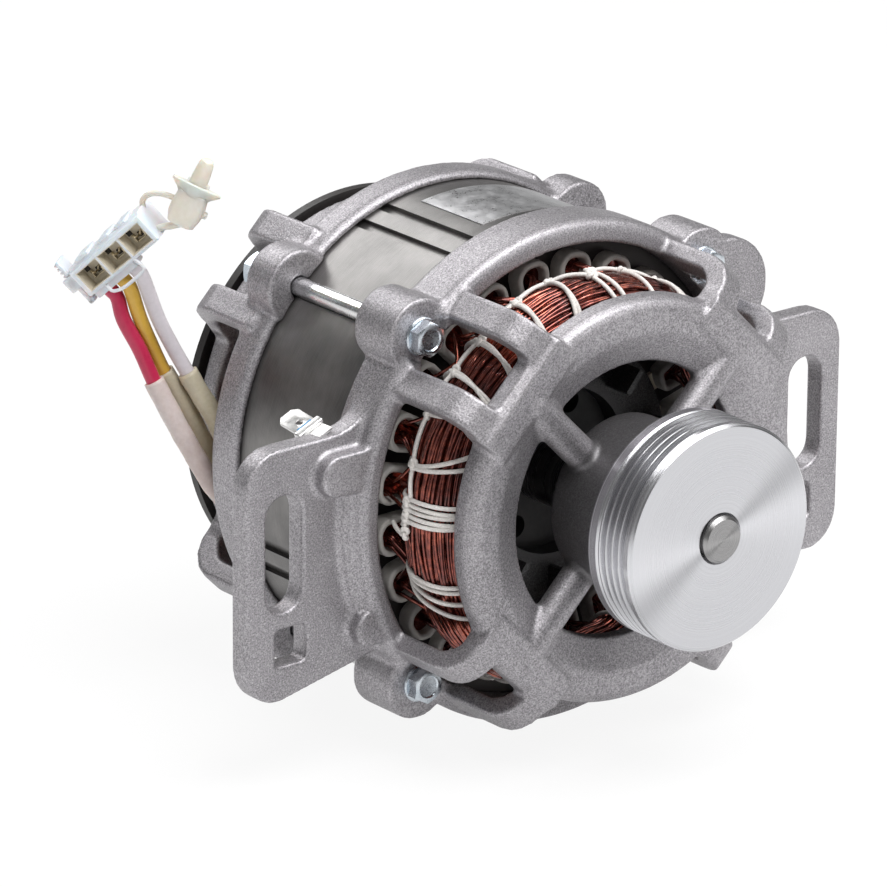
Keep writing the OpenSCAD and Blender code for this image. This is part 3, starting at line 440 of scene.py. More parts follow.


# turned metal: tool rings round the shaft, with a painted sheen, a bright and a dark fan across them that
# stand for the radial reflection
def turnedFinish(name, colour, low, high, pitch):
    f = Finish(name, Metallic=1.0, Roughness=low)
    x, y, z = f.split(f.coords())
    r = (x * x + z * z) ** 0.5
    around = f.add("ShaderNodeCombineXYZ", {}, {0: r, 1: y})
    rings = f.noise(1000 / pitch, 2, 0.6, around)
    wide = f.noise(260, 2, 0.5, around)
    # painted sheen and painted shade: fans of colour by angle stand for the reflection on turned metal
    sheen = (x * 0.97 + z * 0.24) / r
    shade = (x * 0.88 + z * 0.47) / r
    tone = f.span(rings, 0.35, 0.7, 0.3, 0.7) + (sheen ** 12) * 0.4 - (shade ** 40) * 0.8
    f.feed("Base Color", f.mix(tone, tuple(c * 0.6 for c in colour[:3]) + (1,), colour))
    f.feed("Roughness", f.span(rings * 0.6 + wide * 0.4, low, high, 0.3, 0.7))
    f.bump(rings + wide * 0.6, 0.16, 0.05)
    return f


def copperFinish(name):
    f = Finish(name, Metallic=0.9, Roughness=0.2, Coat_Weight=0.9, Coat_Roughness=0.06)
    slow = f.noise(60, 3, 0.55)
    quick = f.noise(700, 2, 0.5)
    f.feed("Base Color", f.ramp(slow * 0.6 + quick * 0.4, [
        (0.34, rgb(0.04, 0.007, 0.006)), (0.5, rgb(0.18, 0.033, 0.022)), (0.66, rgb(0.5, 0.13, 0.075))]))
    f.feed("Roughness", f.span(quick, 0.1, 0.24))
    f.bump(quick, 0.1, 0.05)
    return f


def cordFinish(name, dark, light):
    f = Finish(name, Roughness=0.72, Sheen_Weight=0.25)
    weave = f.noise(2600, 2, 0.6)
    slow = f.noise(90, 2)
    f.feed("Base Color", f.mix(f.span(weave * 0.6 + slow * 0.4, 0, 1, 0.32, 0.68), dark, light))
    f.feed("Roughness", f.span(weave, 0.6, 0.85))
    f.bump(weave, 0.5, 0.12)
    return f


def mouldedFinish(name, dark, light, rough, **more):
    f = Finish(name, Roughness=rough, **more)
    slow = f.noise(55, 3, 0.5)
    fine = f.noise(900, 3, 0.6)
    f.feed("Base Color", f.mix(f.span(slow * 0.7 + fine * 0.3, 0, 1, 0.32, 0.68), dark, light))
    f.feed("Roughness", f.span(fine, rough - 0.07, rough + 0.1))
    f.bump(fine + slow * 0.5, 0.14, 0.08)
    return f


def platedFinish(name, dark, light, rough, relief=0.05):
    f = Finish(name, Metallic=1.0, Roughness=rough)
    slow = f.noise(240, 3, 0.6)
    fine = f.noise(1700, 2, 0.5)
    f.feed("Base Color", f.mix(f.span(slow, 0, 1, 0.3, 0.7), dark, light))
    f.feed("Roughness", f.span(fine * 0.5 + slow * 0.5, rough - 0.08, rough + 0.16, 0.3, 0.7))
    f.bump(fine * 0.5 + slow, relief, 0.06)
    return f


castFront = castFinish("castFront", rgb(0.16, 0.153, 0.161), rgb(0.54, 0.52, 0.543))
castRear = castFinish("castRear", rgb(0.16, 0.153, 0.161), rgb(0.52, 0.5, 0.523))
laminated = laminatedFinish("stackSteel")
rotorSteel = mouldedFinish("rotorSteel", rgb(0.02, 0.02, 0.021), rgb(0.06, 0.058, 0.058), 0.5, Metallic=0.5)
rotorCast = castFinish("rotorCast", rgb(0.03, 0.03, 0.03), rgb(0.13, 0.128, 0.13))
turnedPulley = turnedFinish("turnedPulley", rgb(0.66, 0.66, 0.685), 0.18, 0.32, 0.3)
groundSteel = turnedFinish("groundSteel", rgb(0.36, 0.355, 0.355), 0.2, 0.38, 0.4)
copper = copperFinish("enamelledCopper")
lacingCord = cordFinish("lacingCord", rgb(0.55, 0.52, 0.49), rgb(0.86, 0.83, 0.80))
# painted shade: the off-white cuff sheet is greyed to stand for the shade it sits in
shadedCuffSheet = mouldedFinish("shadedCuffSheet", rgb(0.30, 0.285, 0.265), rgb(0.52, 0.50, 0.475), 0.5)
wedgeSheet = mouldedFinish("wedgeSheet", rgb(0.42, 0.37, 0.28), rgb(0.62, 0.56, 0.44), 0.6)
zincPlate = platedFinish("zincPlate", rgb(0.40, 0.45, 0.50), rgb(0.72, 0.76, 0.80), 0.24)
shankSteel = platedFinish("shankSteel", rgb(0.60, 0.605, 0.61), rgb(0.72, 0.725, 0.73), 0.17, 0.01)
tinPlate = platedFinish("tinPlate", rgb(0.58, 0.575, 0.565), rgb(0.72, 0.715, 0.705), 0.34)
blueMark = mouldedFinish("blueMark", rgb(0.06, 0.22, 0.42), rgb(0.12, 0.34, 0.56), 0.5)
terminalBrass = platedFinish("terminalBrass", rgb(0.36, 0.30, 0.20), rgb(0.66, 0.58, 0.42), 0.28)
springSteel = platedFinish("springSteel", rgb(0.20, 0.20, 0.20), rgb(0.44, 0.44, 0.44), 0.35)
bearingSteel = platedFinish("bearingSteel", rgb(0.42, 0.42, 0.43), rgb(0.64, 0.64, 0.65), 0.22)
foil = platedFinish("labelFoil", rgb(0.60, 0.60, 0.61), rgb(0.78, 0.78, 0.79), 0.3)
redSheath = mouldedFinish("redSheath", rgb(0.40, 0.012, 0.055), rgb(0.52, 0.022, 0.085), 0.34)
yellowSheath = mouldedFinish("yellowSheath", rgb(0.56, 0.33, 0.04), rgb(0.70, 0.44, 0.07), 0.34)
whiteSheath = mouldedFinish("whiteSheath", rgb(0.52, 0.48, 0.51), rgb(0.66, 0.62, 0.65), 0.36)
redSleeve = mouldedFinish("redSleeve", rgb(0.50, 0.36, 0.32), rgb(0.70, 0.58, 0.54),
                          0.42, Subsurface_Weight=0.15)
sleeving = mouldedFinish("sleeving", rgb(0.44, 0.36, 0.24), rgb(0.64, 0.55, 0.41),
                         0.42, Subsurface_Weight=0.15)
nylon = mouldedFinish("whiteNylon", rgb(0.70, 0.69, 0.715), rgb(0.80, 0.79, 0.815),
                      0.38, Subsurface_Weight=0.25)
creamNylon = mouldedFinish("creamNylon", rgb(0.66, 0.60, 0.51), rgb(0.77, 0.725, 0.645),
                           0.38, Subsurface_Weight=0.25)
socketLining = mouldedFinish("socketLining", rgb(0.60, 0.54, 0.42), rgb(0.74, 0.68, 0.56), 0.5)
# painted shade: a near-black colour for patches put where holes and gaps fall into shade
paintedShadeBlack = mouldedFinish("paintedShadeBlack", rgb(0.012, 0.01, 0.008), rgb(0.04, 0.033, 0.025), 0.6)
fanPlastic = mouldedFinish("fanPlastic", rgb(0.008, 0.007, 0.007), rgb(0.022, 0.019, 0.018), 0.46)
print("finishes made")

nodeFinish = {
    "stator_core": laminated, "slot_wedges": wedgeSheet, "shaft": groundSteel,
    "rotor_core": rotorSteel, "front_rotor_ring": rotorCast, "rear_rotor_ring": rotorCast,
    "pulley": turnedPulley,
    "wave_washer": springSteel, "cooling_fan": fanPlastic, "fan_circlip": springSteel, "label_plate": foil,
}
for end in ("front", "rear"):
    for ring in ("outer", "inner", "balls", "shields"):
        nodeFinish[end + "_bearing_" + ring] = bearingSteel
for name, finish in nodeFinish.items():
    painted(nodes[name], finish)

leadFinish = {
    "red": (redSheath, redSleeve), "yellow": (yellowSheath, sleeving), "white": (whiteSheath, sleeving),
}
for colour, (sheath, sleeve) in leadFinish.items():
    dress(leads[colour], sheath, "motor_frame", colour + "_insulation", ["lead_" + colour])
    dress(sleeves[colour], sleeve, "motor_frame", "sleeving", ["sleeve_" + colour])

# cast end shields: the solids' shape with the soft edges of a casting
castSet = {
    "front": {"voxel": 0.5, "fillet": 0.6, "rounds": 1},
    "rear": {"voxel": 0.55, "fillet": 0.8, "rounds": 2},
    "merge": 0.002, "limit": 190000,
}


def solidCopy(node):
    copy = nodes[node].copy()
    copy.data = nodes[node].data.copy()
    copy.parent = None
    for key in list(copy.keys()):
        del copy[key]
    bpy.context.scene.collection.objects.link(copy)
    alone(copy)
    bpy.ops.object.mode_set(mode="EDIT")
    bpy.ops.mesh.select_all(action="SELECT")
    bpy.ops.mesh.remove_doubles(threshold=castSet["merge"] * mm)
    bpy.ops.object.mode_set(mode="OBJECT")
    return copy


# inner corners fill as the skin swells and shrinks back, and outer edges soften
def castSkin(end, name, finish, *parts):
    edges = castSet[end]
    skin = carved(solidCopy(parts[0]), [solidCopy(part) for part in parts[1:]], "UNION")
    skin.name = name
    skin.data.name = name
    for swell in (edges["fillet"], -edges["fillet"], 0):
        remesh = skin.modifiers.new("cast", "REMESH")
        remesh.mode = "VOXEL"
        remesh.voxel_size = edges["voxel"] * mm
        if swell:
            push = skin.modifiers.new("push", "DISPLACE")
            push.strength = swell * mm
            push.mid_level = 0
    soften = skin.modifiers.new("soften", "SMOOTH")
    soften.factor = 0.5
    soften.iterations = edges["rounds"]
    applyModifiers(skin)
    triangles = 2 * len(skin.data.polygons)
    if triangles > castSet["limit"]:
        thin = skin.modifiers.new("thin", "DECIMATE")
        thin.ratio = castSet["limit"] / triangles
        applyModifiers(skin)
    smooth(skin)
    print(name, len(skin.data.polygons), "faces from", triangles, "triangles")
    return dress(skin, finish, "motor_frame", "cast_aluminium", parts)


castSkin("front", "front_shield_casting", castFront, "front_end_shield", "front_ring", "front_bearing_hub",
         "left_flange", "right_flange")
castSkin("rear", "rear_shield_casting", castRear, "rear_end_shield", "rear_bearing_hub")

# end windings: layers of wire round an oval section, pinched under the lacing
windingSet = {
    "wire": 0.98, "layerDrop": 0.72, "massDrop": 0.75,
    "waves": ((6.0, (2, 4)), (3.2, (5, 9)), (0.24, (3, 6)), (0.14, (7, 13))),
    "shared": ((5.5, 2, 1), (4, 3, 0), (2.5, 5, 2)),
    "front": {"r": 46.5, "y": -11.5, "a": 5.9, "b": 8.5, "outer": 46, "inner": 40, "strays": 34,
              "points": 132, "seed": 3},
    "rear": {"r": 46.0, "y": 60.9, "a": 5.4, "b": 6.8, "outer": 40, "inner": 0, "strays": 12,
             "points": 108, "seed": 8},
}
# lacing: angle of each knot, its place on the section and how far its wrap leans
lacingSet = {
    "cord": 1.15, "lift": 0.98, "pinch": 0.4, "pinchWidth": 3.0,
    "frontKnots": [(60, 30, -5), (74, 25, -4), (85.5, 22, -4), (88.5, -2, -5), (97.5, 42, 7), (111, 25, 8),
                   (126.5, 12, 8), (137, 18, 9), (150, 30, -6), (164, 24, -11), (226, 30, 6), (240, 20, -5),
                   (254, 25, 6), (268, 30, -6), (282, 20, 5), (296, 25, -5), (310, 30, 6), (324, 20, -5),
                   (338, 25, 5), (352, 30, -6), (366, 20, 5), (380, 25, -5), (394, 30, 6), (407, 25, -5)],
    "rearKnots": [(a, -20, 6 if a % 28 else -6) for a in range(90, 440, 14)],
    "tieTurns": [173.1, 174.65, 176.2, 177.75, 179.3], "tieLead": ((164, 24), (172.4, 10)),
    "tieEnd": [(181.5, 14, 1.5), (182.6, 20, 2.2), (182.2, 34, 2.8), (181.2, 46, 3.4)],
    "tieKnot": (182.3, 16, 1.9, 0.55),
    "slants": [(193.0, 199.5), (194.0, 201.5), (195.5, 206.5), (196.5, 213.0)],
    "tiePinches": [176.2, 199.0, 204.0],
}
lacingAngles = {"front": [k[0] for k in lacingSet["frontKnots"]] + lacingSet["tiePinches"],
                "rear": [k[0] for k in lacingSet["rearKnots"]]}


def pinch(end, degrees):
    near = (abs((degrees - a + 180) % 360 - 180) for a in lacingAngles[end])
    return lacingSet["pinch"] * max(math.exp(-(d / lacingSet["pinchWidth"]) ** 2) for d in near)


# point on a bundle's surface at an angle round the shaft and an angle round the section, in degrees
def onBundle(end, degrees, section, lift=0.0):
    w = windingSet[end]
    out = lift - pinch(end, degrees)
    a = math.radians(section)
    return about(w["r"] + (w["a"] + out) * math.cos(a), w["y"] + (w["b"] + out) * math.sin(a), degrees)


def rippled(waves, a):
    return sum(size * math.sin(turns * a + phase) for size, turns, phase in waves)


def bundleWires(end):
    w = windingSet[end]
    random.seed(w["seed"])
    loops = []
    for layer, count in ((0, w["outer"]), (1, w["inner"])):
        for k in range(count):
            waves = [(random.uniform(0.3, 1.0) * size, random.randint(*turns), random.uniform(0, 6.28))
                     for size, turns in windingSet["waves"]]
            path = []
            for i in range(w["points"]):
                degrees = 360 * i / w["points"]
                a = math.radians(degrees)
                sway = rippled(windingSet["shared"], a) + rippled(waves[:2], a)
                lift = rippled(waves[2:], a) - windingSet["layerDrop"] * layer
                path.append(onBundle(end, degrees, 360 * (k + 0.5 * layer) / count + sway, lift))
            loops.append(path)
    strays = []
    for k in range(w["strays"]):
        start, turn = random.uniform(0, 360), random.uniform(35, 95)
        section, lean = random.uniform(0, 360), random.choice((-1, 1)) * random.uniform(18, 55)
        strays.append([onBundle(end, start + turn * i / 30, section + lean * i / 30,
                                0.5 - 1.5 * abs(i / 15 - 1) ** 6) for i in range(31)])
    return loops, strays


def bundle(end):
    loops, strays = bundleWires(end)
    wires = joined(end + "_winding_wires", [
        tubes("loops", loops, windingSet["wire"] / 2, 1, closed=True),
        tubes("strays", strays, windingSet["wire"] / 2, 1)])
    drop = -windingSet["massDrop"]
    core = loft(end + "_winding_mass", [[onBundle(end, 360 * i / 96, 15 * k, drop) for k in range(24)]
                                        for i in range(96)], loop=True)
    dress(wires, copper, "motor_frame", "copper", [end + "_winding"])
    dress(smooth(core), copper, "motor_frame", "copper", [end + "_winding_core"])
    print(end, "winding made:", len(wires.data.polygons), "faces")


bundle("front")
bundle("rear")

# coil sides in the slots, with the wires that bend out of each slot into the bundles
slotSet = {
    "count": 24, "inner": 39.2, "outer": 54.5, "inWidth": 4.96, "outWidth": 8.0, "neck": 1.2, "corner": 3.1,
    "front": 4.0, "back": 49.0, "frontCuff": 4.3, "rearCuff": 2.2,
    "barFront": 2.4, "barBack": 50.2, "inset": 0.7, "legMiddle": 46.5, "legs": {"front": 16, "rear": 8},
}


# rounded slot outline in radius and width, drawn in by inset, with outward normals
def slotOutline(inset):
    n = slotSet
    half0, half1 = n["inWidth"] / 2 - inset, n["outWidth"] / 2 - inset
    r0, r1 = n["inner"] + inset, n["outer"] - inset
    neck, corner = n["neck"], n["corner"]
    points = []
    for cr, cw, radius, a0 in ((r0 + neck, half0 - neck, neck, 90), (r0 + neck, neck - half0, neck, 180),
                               (r1 - corner, corner - half1, corner, 270),
                               (r1 - corner, half1 - corner, corner, 360)):
        for k in range(7):
            a = math.radians(a0 + 15 * k)
            points.append((cr + radius * math.cos(a), cw + radius * math.sin(a), math.cos(a), math.sin(a)))
    return points


def atSlot(number, r, width, y):
    a = math.radians(360 * (number + 0.5) / slotSet["count"])
    return Vector((r * math.cos(a) - width * math.sin(a), y, r * math.sin(a) + width * math.cos(a)))


def slotLegs(number, end, count):
    n = slotSet
    middle = 360 * (number + 0.5) / n["count"]
    base, out = (n["barFront"], -1) if end == "front" else (n["barBack"], 1)
    legs = []
    for k in range(count):
        r = random.uniform(n["inner"] + 2.4, n["outer"] - 2.0)
        width = random.uniform(-0.36, 0.36) * n["outWidth"] * (0.55 + 0.45 * (r - n["inner"]) / 15)
        lean = 1 if width > 0 else -1
        degrees = middle + math.degrees(width / r)
        section = -out * (90 + (n["legMiddle"] - r) * random.uniform(6, 9))
        section += random.uniform(-12, 12)
        reach = random.uniform(9, 17)
        start = atSlot(number, r, width, base)
        rise = atSlot(number, r, width, base + out * random.uniform(2.2, 3.4))
        touch = onBundle(end, degrees + lean * reach * 0.45, section, random.uniform(0.1, 0.5))
        merge = onBundle(end, degrees + lean * reach, section, random.uniform(-0.1, 0.3))
        sink = onBundle(end, degrees + lean * (reach + 8), section, -0.8)
        legs.append(flowing([start, rise, touch, merge, sink], 1.1))
    return legs


def coilSides():
    random.seed(21)
    bars = []
    for number in range(slotSet["count"]):
        outline = slotOutline(slotSet["inset"])
        bars.append(loft("bar", [[atSlot(number, r, t, y) for r, t, nr, nt in outline]
                                 for y in (slotSet["barFront"], slotSet["barBack"])]))
    legs = [leg for end, count in slotSet["legs"].items() for number in range(slotSet["count"])
            for leg in slotLegs(number, end, count)]
    wires = tubes("legs", legs, windingSet["wire"] / 2, 1)
    sides = joined("coil_sides", bars + [wires])
    dress(sides, copper, "motor_frame", "copper", ["slot_coils"])
    print("coil sides made:", len(sides.data.polygons), "faces")


coilSides()

# slot liners with rolled cuffs that stand on the stack's faces
cuffSet = {"thick": 1.15, "sheet": 0.5, "roll": 8}


def liners():
    n = slotSet
    outline = slotOutline(0.1)
    thick, sheet = cuffSet["thick"], cuffSet["sheet"]
    parts = []
    for number in range(n["count"]):
        profile = [(-sheet, n["front"] + 2), (-sheet, n["back"] - 2)]
        lips = []
        for face, out, height in ((n["back"], 1, n["rearCuff"]), (n["front"], -1, n["frontCuff"])):
            radius = (thick + sheet) / 2
            middle = (thick - sheet) / 2
            lip = [(middle - radius * math.cos(a), face + out * (height - radius + radius * math.sin(a)))
                   for a in (math.pi * k / cuffSet["roll"] for k in range(cuffSet["roll"] + 1))]
            lips.append(lip + [(thick, face - out * 0.3), (0.02, face - out * 0.3)])
        profile += lips[0] + lips[1][::-1]
        parts.append(loft("cuff", [[atSlot(number, r + nr * off, t + nt * off, y) for r, t, nr, nt in outline]
                                   for off, y in profile], loop=True))
    sheets = smooth(joined("slot_cuffs", parts), 50)
    dress(sheets, shadedCuffSheet, "motor_frame", "insulation", ["slot_liners"])
    print("cuffs made:", len(sheets.data.polygons), "faces")


liners()


# lacing cord: wraps, knots, running line and tied ends
def wrapPath(end, degrees, section, lean, lift):
    return [onBundle(end, degrees + lean * (1 - math.cos(2 * math.pi * i / 36)) / 2, section - 10 * i, lift)
            for i in range(37)]


def knotPath(end, degrees, section, lift, size=0.5):
    centre = onBundle(end, degrees, section, lift)
    a, b = math.radians(degrees), math.radians(section)
    radial = Vector((math.cos(a), 0, math.sin(a)))
    out = (math.cos(b) * radial + math.sin(b) * Vector((0, 1, 0))).normalized()
    along = Vector((-math.sin(a), 0, math.cos(a)))
    side = out.cross(along)
    path = []
    for k in range(33):
        t = 2 * math.pi * k / 32
        turn = (math.sin(t) + 1.6 * math.sin(2 * t)) * along + (math.cos(t) - 1.6 * math.cos(2 * t)) * side
        path.append(centre + size * (turn - 0.9 * math.sin(3 * t) * out))
    return path


def lacing(end):
    lift = lacingSet["lift"]
    knots = lacingSet[end + "Knots"]
    random.seed(13)
    paths = []
    for degrees, section, lean in knots:
        paths.append(wrapPath(end, degrees, section, lean, lift))
        if random.random() < 0.4:
            paths.append(wrapPath(end, degrees + 0.8, section, lean * 0.55, lift + 0.15))
        paths.append(knotPath(end, degrees, section, lift + 0.35))
    for (a, sa, la), (b, sb, lb) in zip(knots, knots[1:]):
        if b - a < 20:
            paths.append([onBundle(end, a + (b - a) * i / 10, sa + (sb - sa) * i / 10,
                                   lift + 0.25 + 0.3 * pinch(end, a + (b - a) * i / 10)) for i in range(11)])
    if end == "front":
        ties = lacingSet["tieTurns"]
        for k, degrees in enumerate(ties):
            paths.append(wrapPath(end, degrees, 20, 0.6 if k % 2 else -0.4, lift))
            paths.append(knotPath(end, degrees + 0.9, 22 + 3 * (k % 2), lift + 0.3, 0.45))
        (a, sa), (b, sb) = lacingSet["tieLead"]
        paths.append([onBundle(end, a + (b - a) * i / 8, sa + (sb - sa) * i / 8, lift + 0.3)
                      for i in range(9)])
        paths.append(flowing([onBundle(end, *point) for point in lacingSet["tieEnd"]], 0.5))
        paths.append(knotPath(end, *lacingSet["tieKnot"]))
        for k, (first, last) in enumerate(lacingSet["slants"]):
            paths.append([onBundle(end, first + (last - first) * i / 24, 80 - 8.5 * i,
                                   lift + 0.12 * k - 1.2 * abs(i / 12 - 1) ** 8) for i in range(25)])
    cord = tubes(end + "_lacing_cord", paths, lacingSet["cord"] / 2, 2)
    dress(cord, lacingCord, "motor_frame", "lacing", [end + "_lacing"])
    print(end, "lacing made:", len(cord.data.polygons), "faces")


lacing("front")
lacing("rear")

# through bolts with flanged heads and rolled threads, and their nuts
boltSet = {
    "out": 45.0, "seat": -3.5, "head": -7.5, "flats": 8.0, "collar": 4.85, "shank": 2.5, "bore": 2.55,
    "nutSeat": 58.0, "nut": 62.0, "tip": 63.5, "threadFrom": 52.0, "pitch": 0.8, "threadDepth": 0.4,
    "sides": 72, "dish": [(2.9, 0), (2.6, 0.35), (1.2, 0.55), (0.2, 0.55)],
}


def hexRadius(degrees):
    return boltSet["flats"] / 2 / math.cos(math.radians((degrees + 30) % 60 - 30))


def boltRing(x, z, radius, y):
    n = boltSet["sides"]
    turns = [360 * k / n for k in range(n)]
    return [(x + radius(t) * math.cos(math.radians(t)), y(t), z + radius(t) * math.sin(math.radians(t)))
            for t in turns]


# hexagon from its seat to its face, chamfered as by a turned cone
def hexRings(x, z, seat, face):
    way = 1 if face > seat else -1
    trim = boltSet["flats"] / 2 * 0.95
    edge = [(hexRadius, lambda t: seat),
            (hexRadius, lambda t: face - way * (hexRadius(t) - trim) * 0.62),
            (lambda t: trim, lambda t: face)]
    return [boltRing(x, z, radius, y) for radius, y in edge]


def ringsOf(x, z, profile):
    return [boltRing(x, z, lambda t, r=r: r, lambda t, y=y: y) for r, y in profile]


def bolts():
    n = boltSet
    seat, shank, tip, bore = n["seat"], n["shank"], n["tip"], n["bore"]
    heads, shanks, nuts = [], [], []
    thread = []
    y = n["threadFrom"]
    while y < tip - 1.2:
        thread += [(shank, y), (shank - n["threadDepth"], y + n["pitch"] / 2)]
        y += n["pitch"]
    dish = [(r, n["head"] + depth) for r, depth in n["dish"]]
    collar = [(2.6, seat), (n["collar"], seat), (n["collar"], seat - 0.45), (n["collar"] - 0.35, seat - 0.75),
              (2.6, seat - 0.9)]
    rod = [(shank, seat - 0.5), (shank, n["threadFrom"] - 0.6)] + thread
    rod += [(shank - 0.2, tip - 0.5), (shank - 0.7, tip)]
    bored = [(2.9, n["nut"]), (bore, n["nut"] - 0.35), (bore, n["nutSeat"] + 0.3), (2.9, n["nutSeat"])]
    for x in (-n["out"], n["out"]):
        for z in (-n["out"], n["out"]):
            heads.append(loft("head", hexRings(x, z, seat - 0.7, n["head"]) + ringsOf(x, z, dish)))
            heads.append(loft("collar", ringsOf(x, z, collar)))
            shanks.append(loft("shank", ringsOf(x, z, rod)))
            nuts.append(loft("nut", hexRings(x, z, n["nutSeat"], n["nut"]) + ringsOf(x, z, bored), loop=True))
    for part in heads:
        painted(part, zincPlate)
    for part in shanks:
        painted(part, shankSteel)
    bolt = smooth(joined("bolt_set", heads + shanks), 32)
    dress(bolt, None, "motor_frame", "zinc_steel", ["through_bolts"])
    dress(smooth(joined("nut_set", nuts), 32), zincPlate, "motor_frame", "zinc_steel", ["bolt_nuts"])
    print("bolts made")


bolts()

# earth tab: tinned blade with a locating hole and a folded root
tabSet = {
    "place": (-70.7, 2.0, 23.5), "roll": -24.0, "root": 4.0, "rise": 10.0, "half": 3.15, "thick": 0.8,
    "length": 10.0, "tip": 1.4, "edge": 0.14, "hole": (4.8, 0.85), "fold": (4.0, 0.4, 2.6, 1.1),
    "mark": (2.3, 3.0, 3.45),
}


def earthTab():
    n = tabSet
    half, flat = n["half"], n["thick"] / 2
    place = Matrix.Translation(Vector(n["place"]) * mm) @ Matrix.Rotation(math.radians(n["roll"]), 4, "Y")
    rise = Matrix.Rotation(math.radians(n["rise"]), 4, "X")
    bent = place @ Matrix.Translation((0, n["root"] * mm, 0)) @ rise
    outline = [(-half, 0), (half, 0), (half, n["length"] - n["tip"]), (half - n["tip"], n["length"]),
               (n["tip"] - half, n["length"]), (-half, n["length"] - n["tip"])]
    blade = loft("blade", [[(x, y, z) for x, y in outline] for z in (-flat, flat)])
    at, radius = n["hole"]
    turns = [2 * math.pi * k / 32 for k in range(32)]
    hole = loft("hole", [[(radius * math.cos(t), at + radius * math.sin(t), z) for t in turns]
                         for z in (-1, 1)])
    rounded(carved(blade, [hole]), n["edge"], 2)
    wide, near, far, high = n["fold"]
    fold = boxed("fold", (-wide, near, -flat), (wide, far, high), 0.4)
    root = boxed("root", (-half, 0.1, -flat), (half, n["root"] + 0.4, flat), 0.1)
    broad, low, top = n["mark"]
    mark = boxed("mark", (-broad, low, flat - 0.05), (broad, top, flat + 0.03), 0.02)
    parts = [painted(placed(part, at), tinPlate) for part, at in ((blade, bent), (fold, bent), (root, place))]
    parts.append(painted(placed(mark, bent), blueMark))
    dress(smooth(joined("earth_tab_blade", parts), 35), None, "motor_frame", "tinned_brass", ["earth_tab"])


earthTab()

# connector in its own frame: sockets open forward, leads come in from below
connectorSet = {
    "half": 12.0, "edge": 0.25, "pitch": 7.4, "socket": (3.45, 2.95), "middleZ": -1.4, "floorY": 0.0,
    "section": [(-6, -4.6), (-5.6, -5.2), (5.6, -5.2), (6, -4.6), (6, 2.6), (4.6, 3.3), (-4.4, 3.3),
                (-4.8, 2.7), (-6, 2.6)],
    "lining": (0.03, 0.22), "recesses": [(-2.9, -1.5, 0.9, 2.3), (-0.5, 1.3, -0.9, 0.6)],
    "prong": [(1.4, -2.6, 0.8), (0.9, -2.9, 0.2), (0.4, -2.2, -0.2), (0.35, -1.1, -0.2)],
    "skirt": ((-11.8, -3.5, -7.2), (1.8, 3.5, -5)), "steps": [(-9.6, -5.2), (-1.6, 2.2), (4.4, 8.0)],
    "latchX": -14.1, "earX": (-15.7, -11.7), "earY": (3.3, 4.5), "pin": (0.78, 4.4),
    "barrel": [(1.55, -3), (1.7, -2.8), (1.7, 2.8), (1.55, 3), (0.88, 3), (0.88, -3)],
    "teeth": 4, "toothPitch": 1.15,
    "loop": [(3.4, -5.5, -4.8), (4, -5.8, -7.6), (3, -5.9, -8.6), (-3, -5.9, -8.7), (-6.3, -5.6, -7.8),
             (-7, -5.2, -6.3), (-7, -4.6, -4.8)],
}


# one socket's lining, painted shade in its recesses, and contact, with its middle at x and z
def socketParts(x, z):
    n = connectorSet
    sx, sz = n["socket"]
    gap, wall = n["lining"]
    lining = boxed("lining", (x - sx + gap, -5.8, z - sz + gap), (x + sx - gap, -0.05, z + sz - gap), 0)
    room = boxed("room", (x - sx + wall, -8, z - sz + wall), (x + sx - wall, -1.0, z + sz - wall), 0)
    carved(lining, [room])
    # painted shade: near-black patches deep in the socket
    dark = [boxed("recess", (x + x0, -1.2, z + z0), (x + x1, -0.8, z + z1), 0.1)
            for x0, x1, z0, z1 in n["recesses"]]
    brass = [boxed("floor", (x - 1.5, -2.2, z - 1.5), (x + 1.5, -1.05, z - 1.15), 0.12)]
    for s in (-1, 1):
        side = x + s * 1.5
        brass.append(boxed("wall", (side - 0.2, -2.4, z - 1.4), (side + 0.2, -1.05, z + 0.9), 0.12))
        prong = flowing([(x + s * px, py, z + pz) for px, py, pz in n["prong"]], 0.3)
        brass.append(tubes("prong", [prong], 0.28, 2))
    return lining, dark, brass


def connectorBody():
    n = connectorSet
    w, (sx, sz) = n["half"], n["socket"]
    body = loft("body", [[(x, y, z) for y, z in n["section"]] for x in (-w, w)])
    cuts, lined, dark, brass = [], [], [], []
    for i in (-1, 0, 1):
        x, z = i * n["pitch"], n["middleZ"]
        cuts.append(boxed("cut", (x - sx, -7, z - sz), (x + sx, n["floorY"], z + sz), 0))
        lining, recesses, contact = socketParts(x, z)
        lined.append(lining)
        dark += recesses
        brass += contact
    rounded(carved(body, cuts), n["edge"], 2)
    white = [body, boxed("skirt", *n["skirt"], 0.5)]
    for x0, x1 in n["steps"]:
        white.append(boxed("step", (x0, -4.2, 2.8), (x1, 3.6, 4.1), 0.35))
    for s in (-1, 1):
        low, high = sorted(s * y for y in n["earY"])
        white.append(boxed("ear", (n["earX"][0], low, -2), (n["earX"][1], high, 2), 0.4))
    r, reach = n["pin"]
    turns = [2 * math.pi * k / 24 for k in range(24)]
    white.append(loft("pin", [[(n["latchX"] + r * math.cos(t), y, r * math.sin(t)) for t in turns]
                              for y in (-reach, reach)]))
    white.append(tubes("loop", [flowing(n["loop"], 0.4)], 0.45, 3))
    for parts, finish in ((white, nylon), (lined, socketLining), (dark, paintedShadeBlack)):
        for part in parts:
            painted(part, finish)
    shell = placed(smooth(joined("connector_shell", white + lined + dark), 35), connectorPlace)
    contacts = placed(smooth(joined("connector_contacts", brass), 35), connectorPlace)
    dress(shell, None, "motor_frame", "white_nylon", ["connector_housing"])
    dress(contacts, terminalBrass, "motor_frame", "terminal_brass", ["connector_terminals"])
    return [shell, contacts]


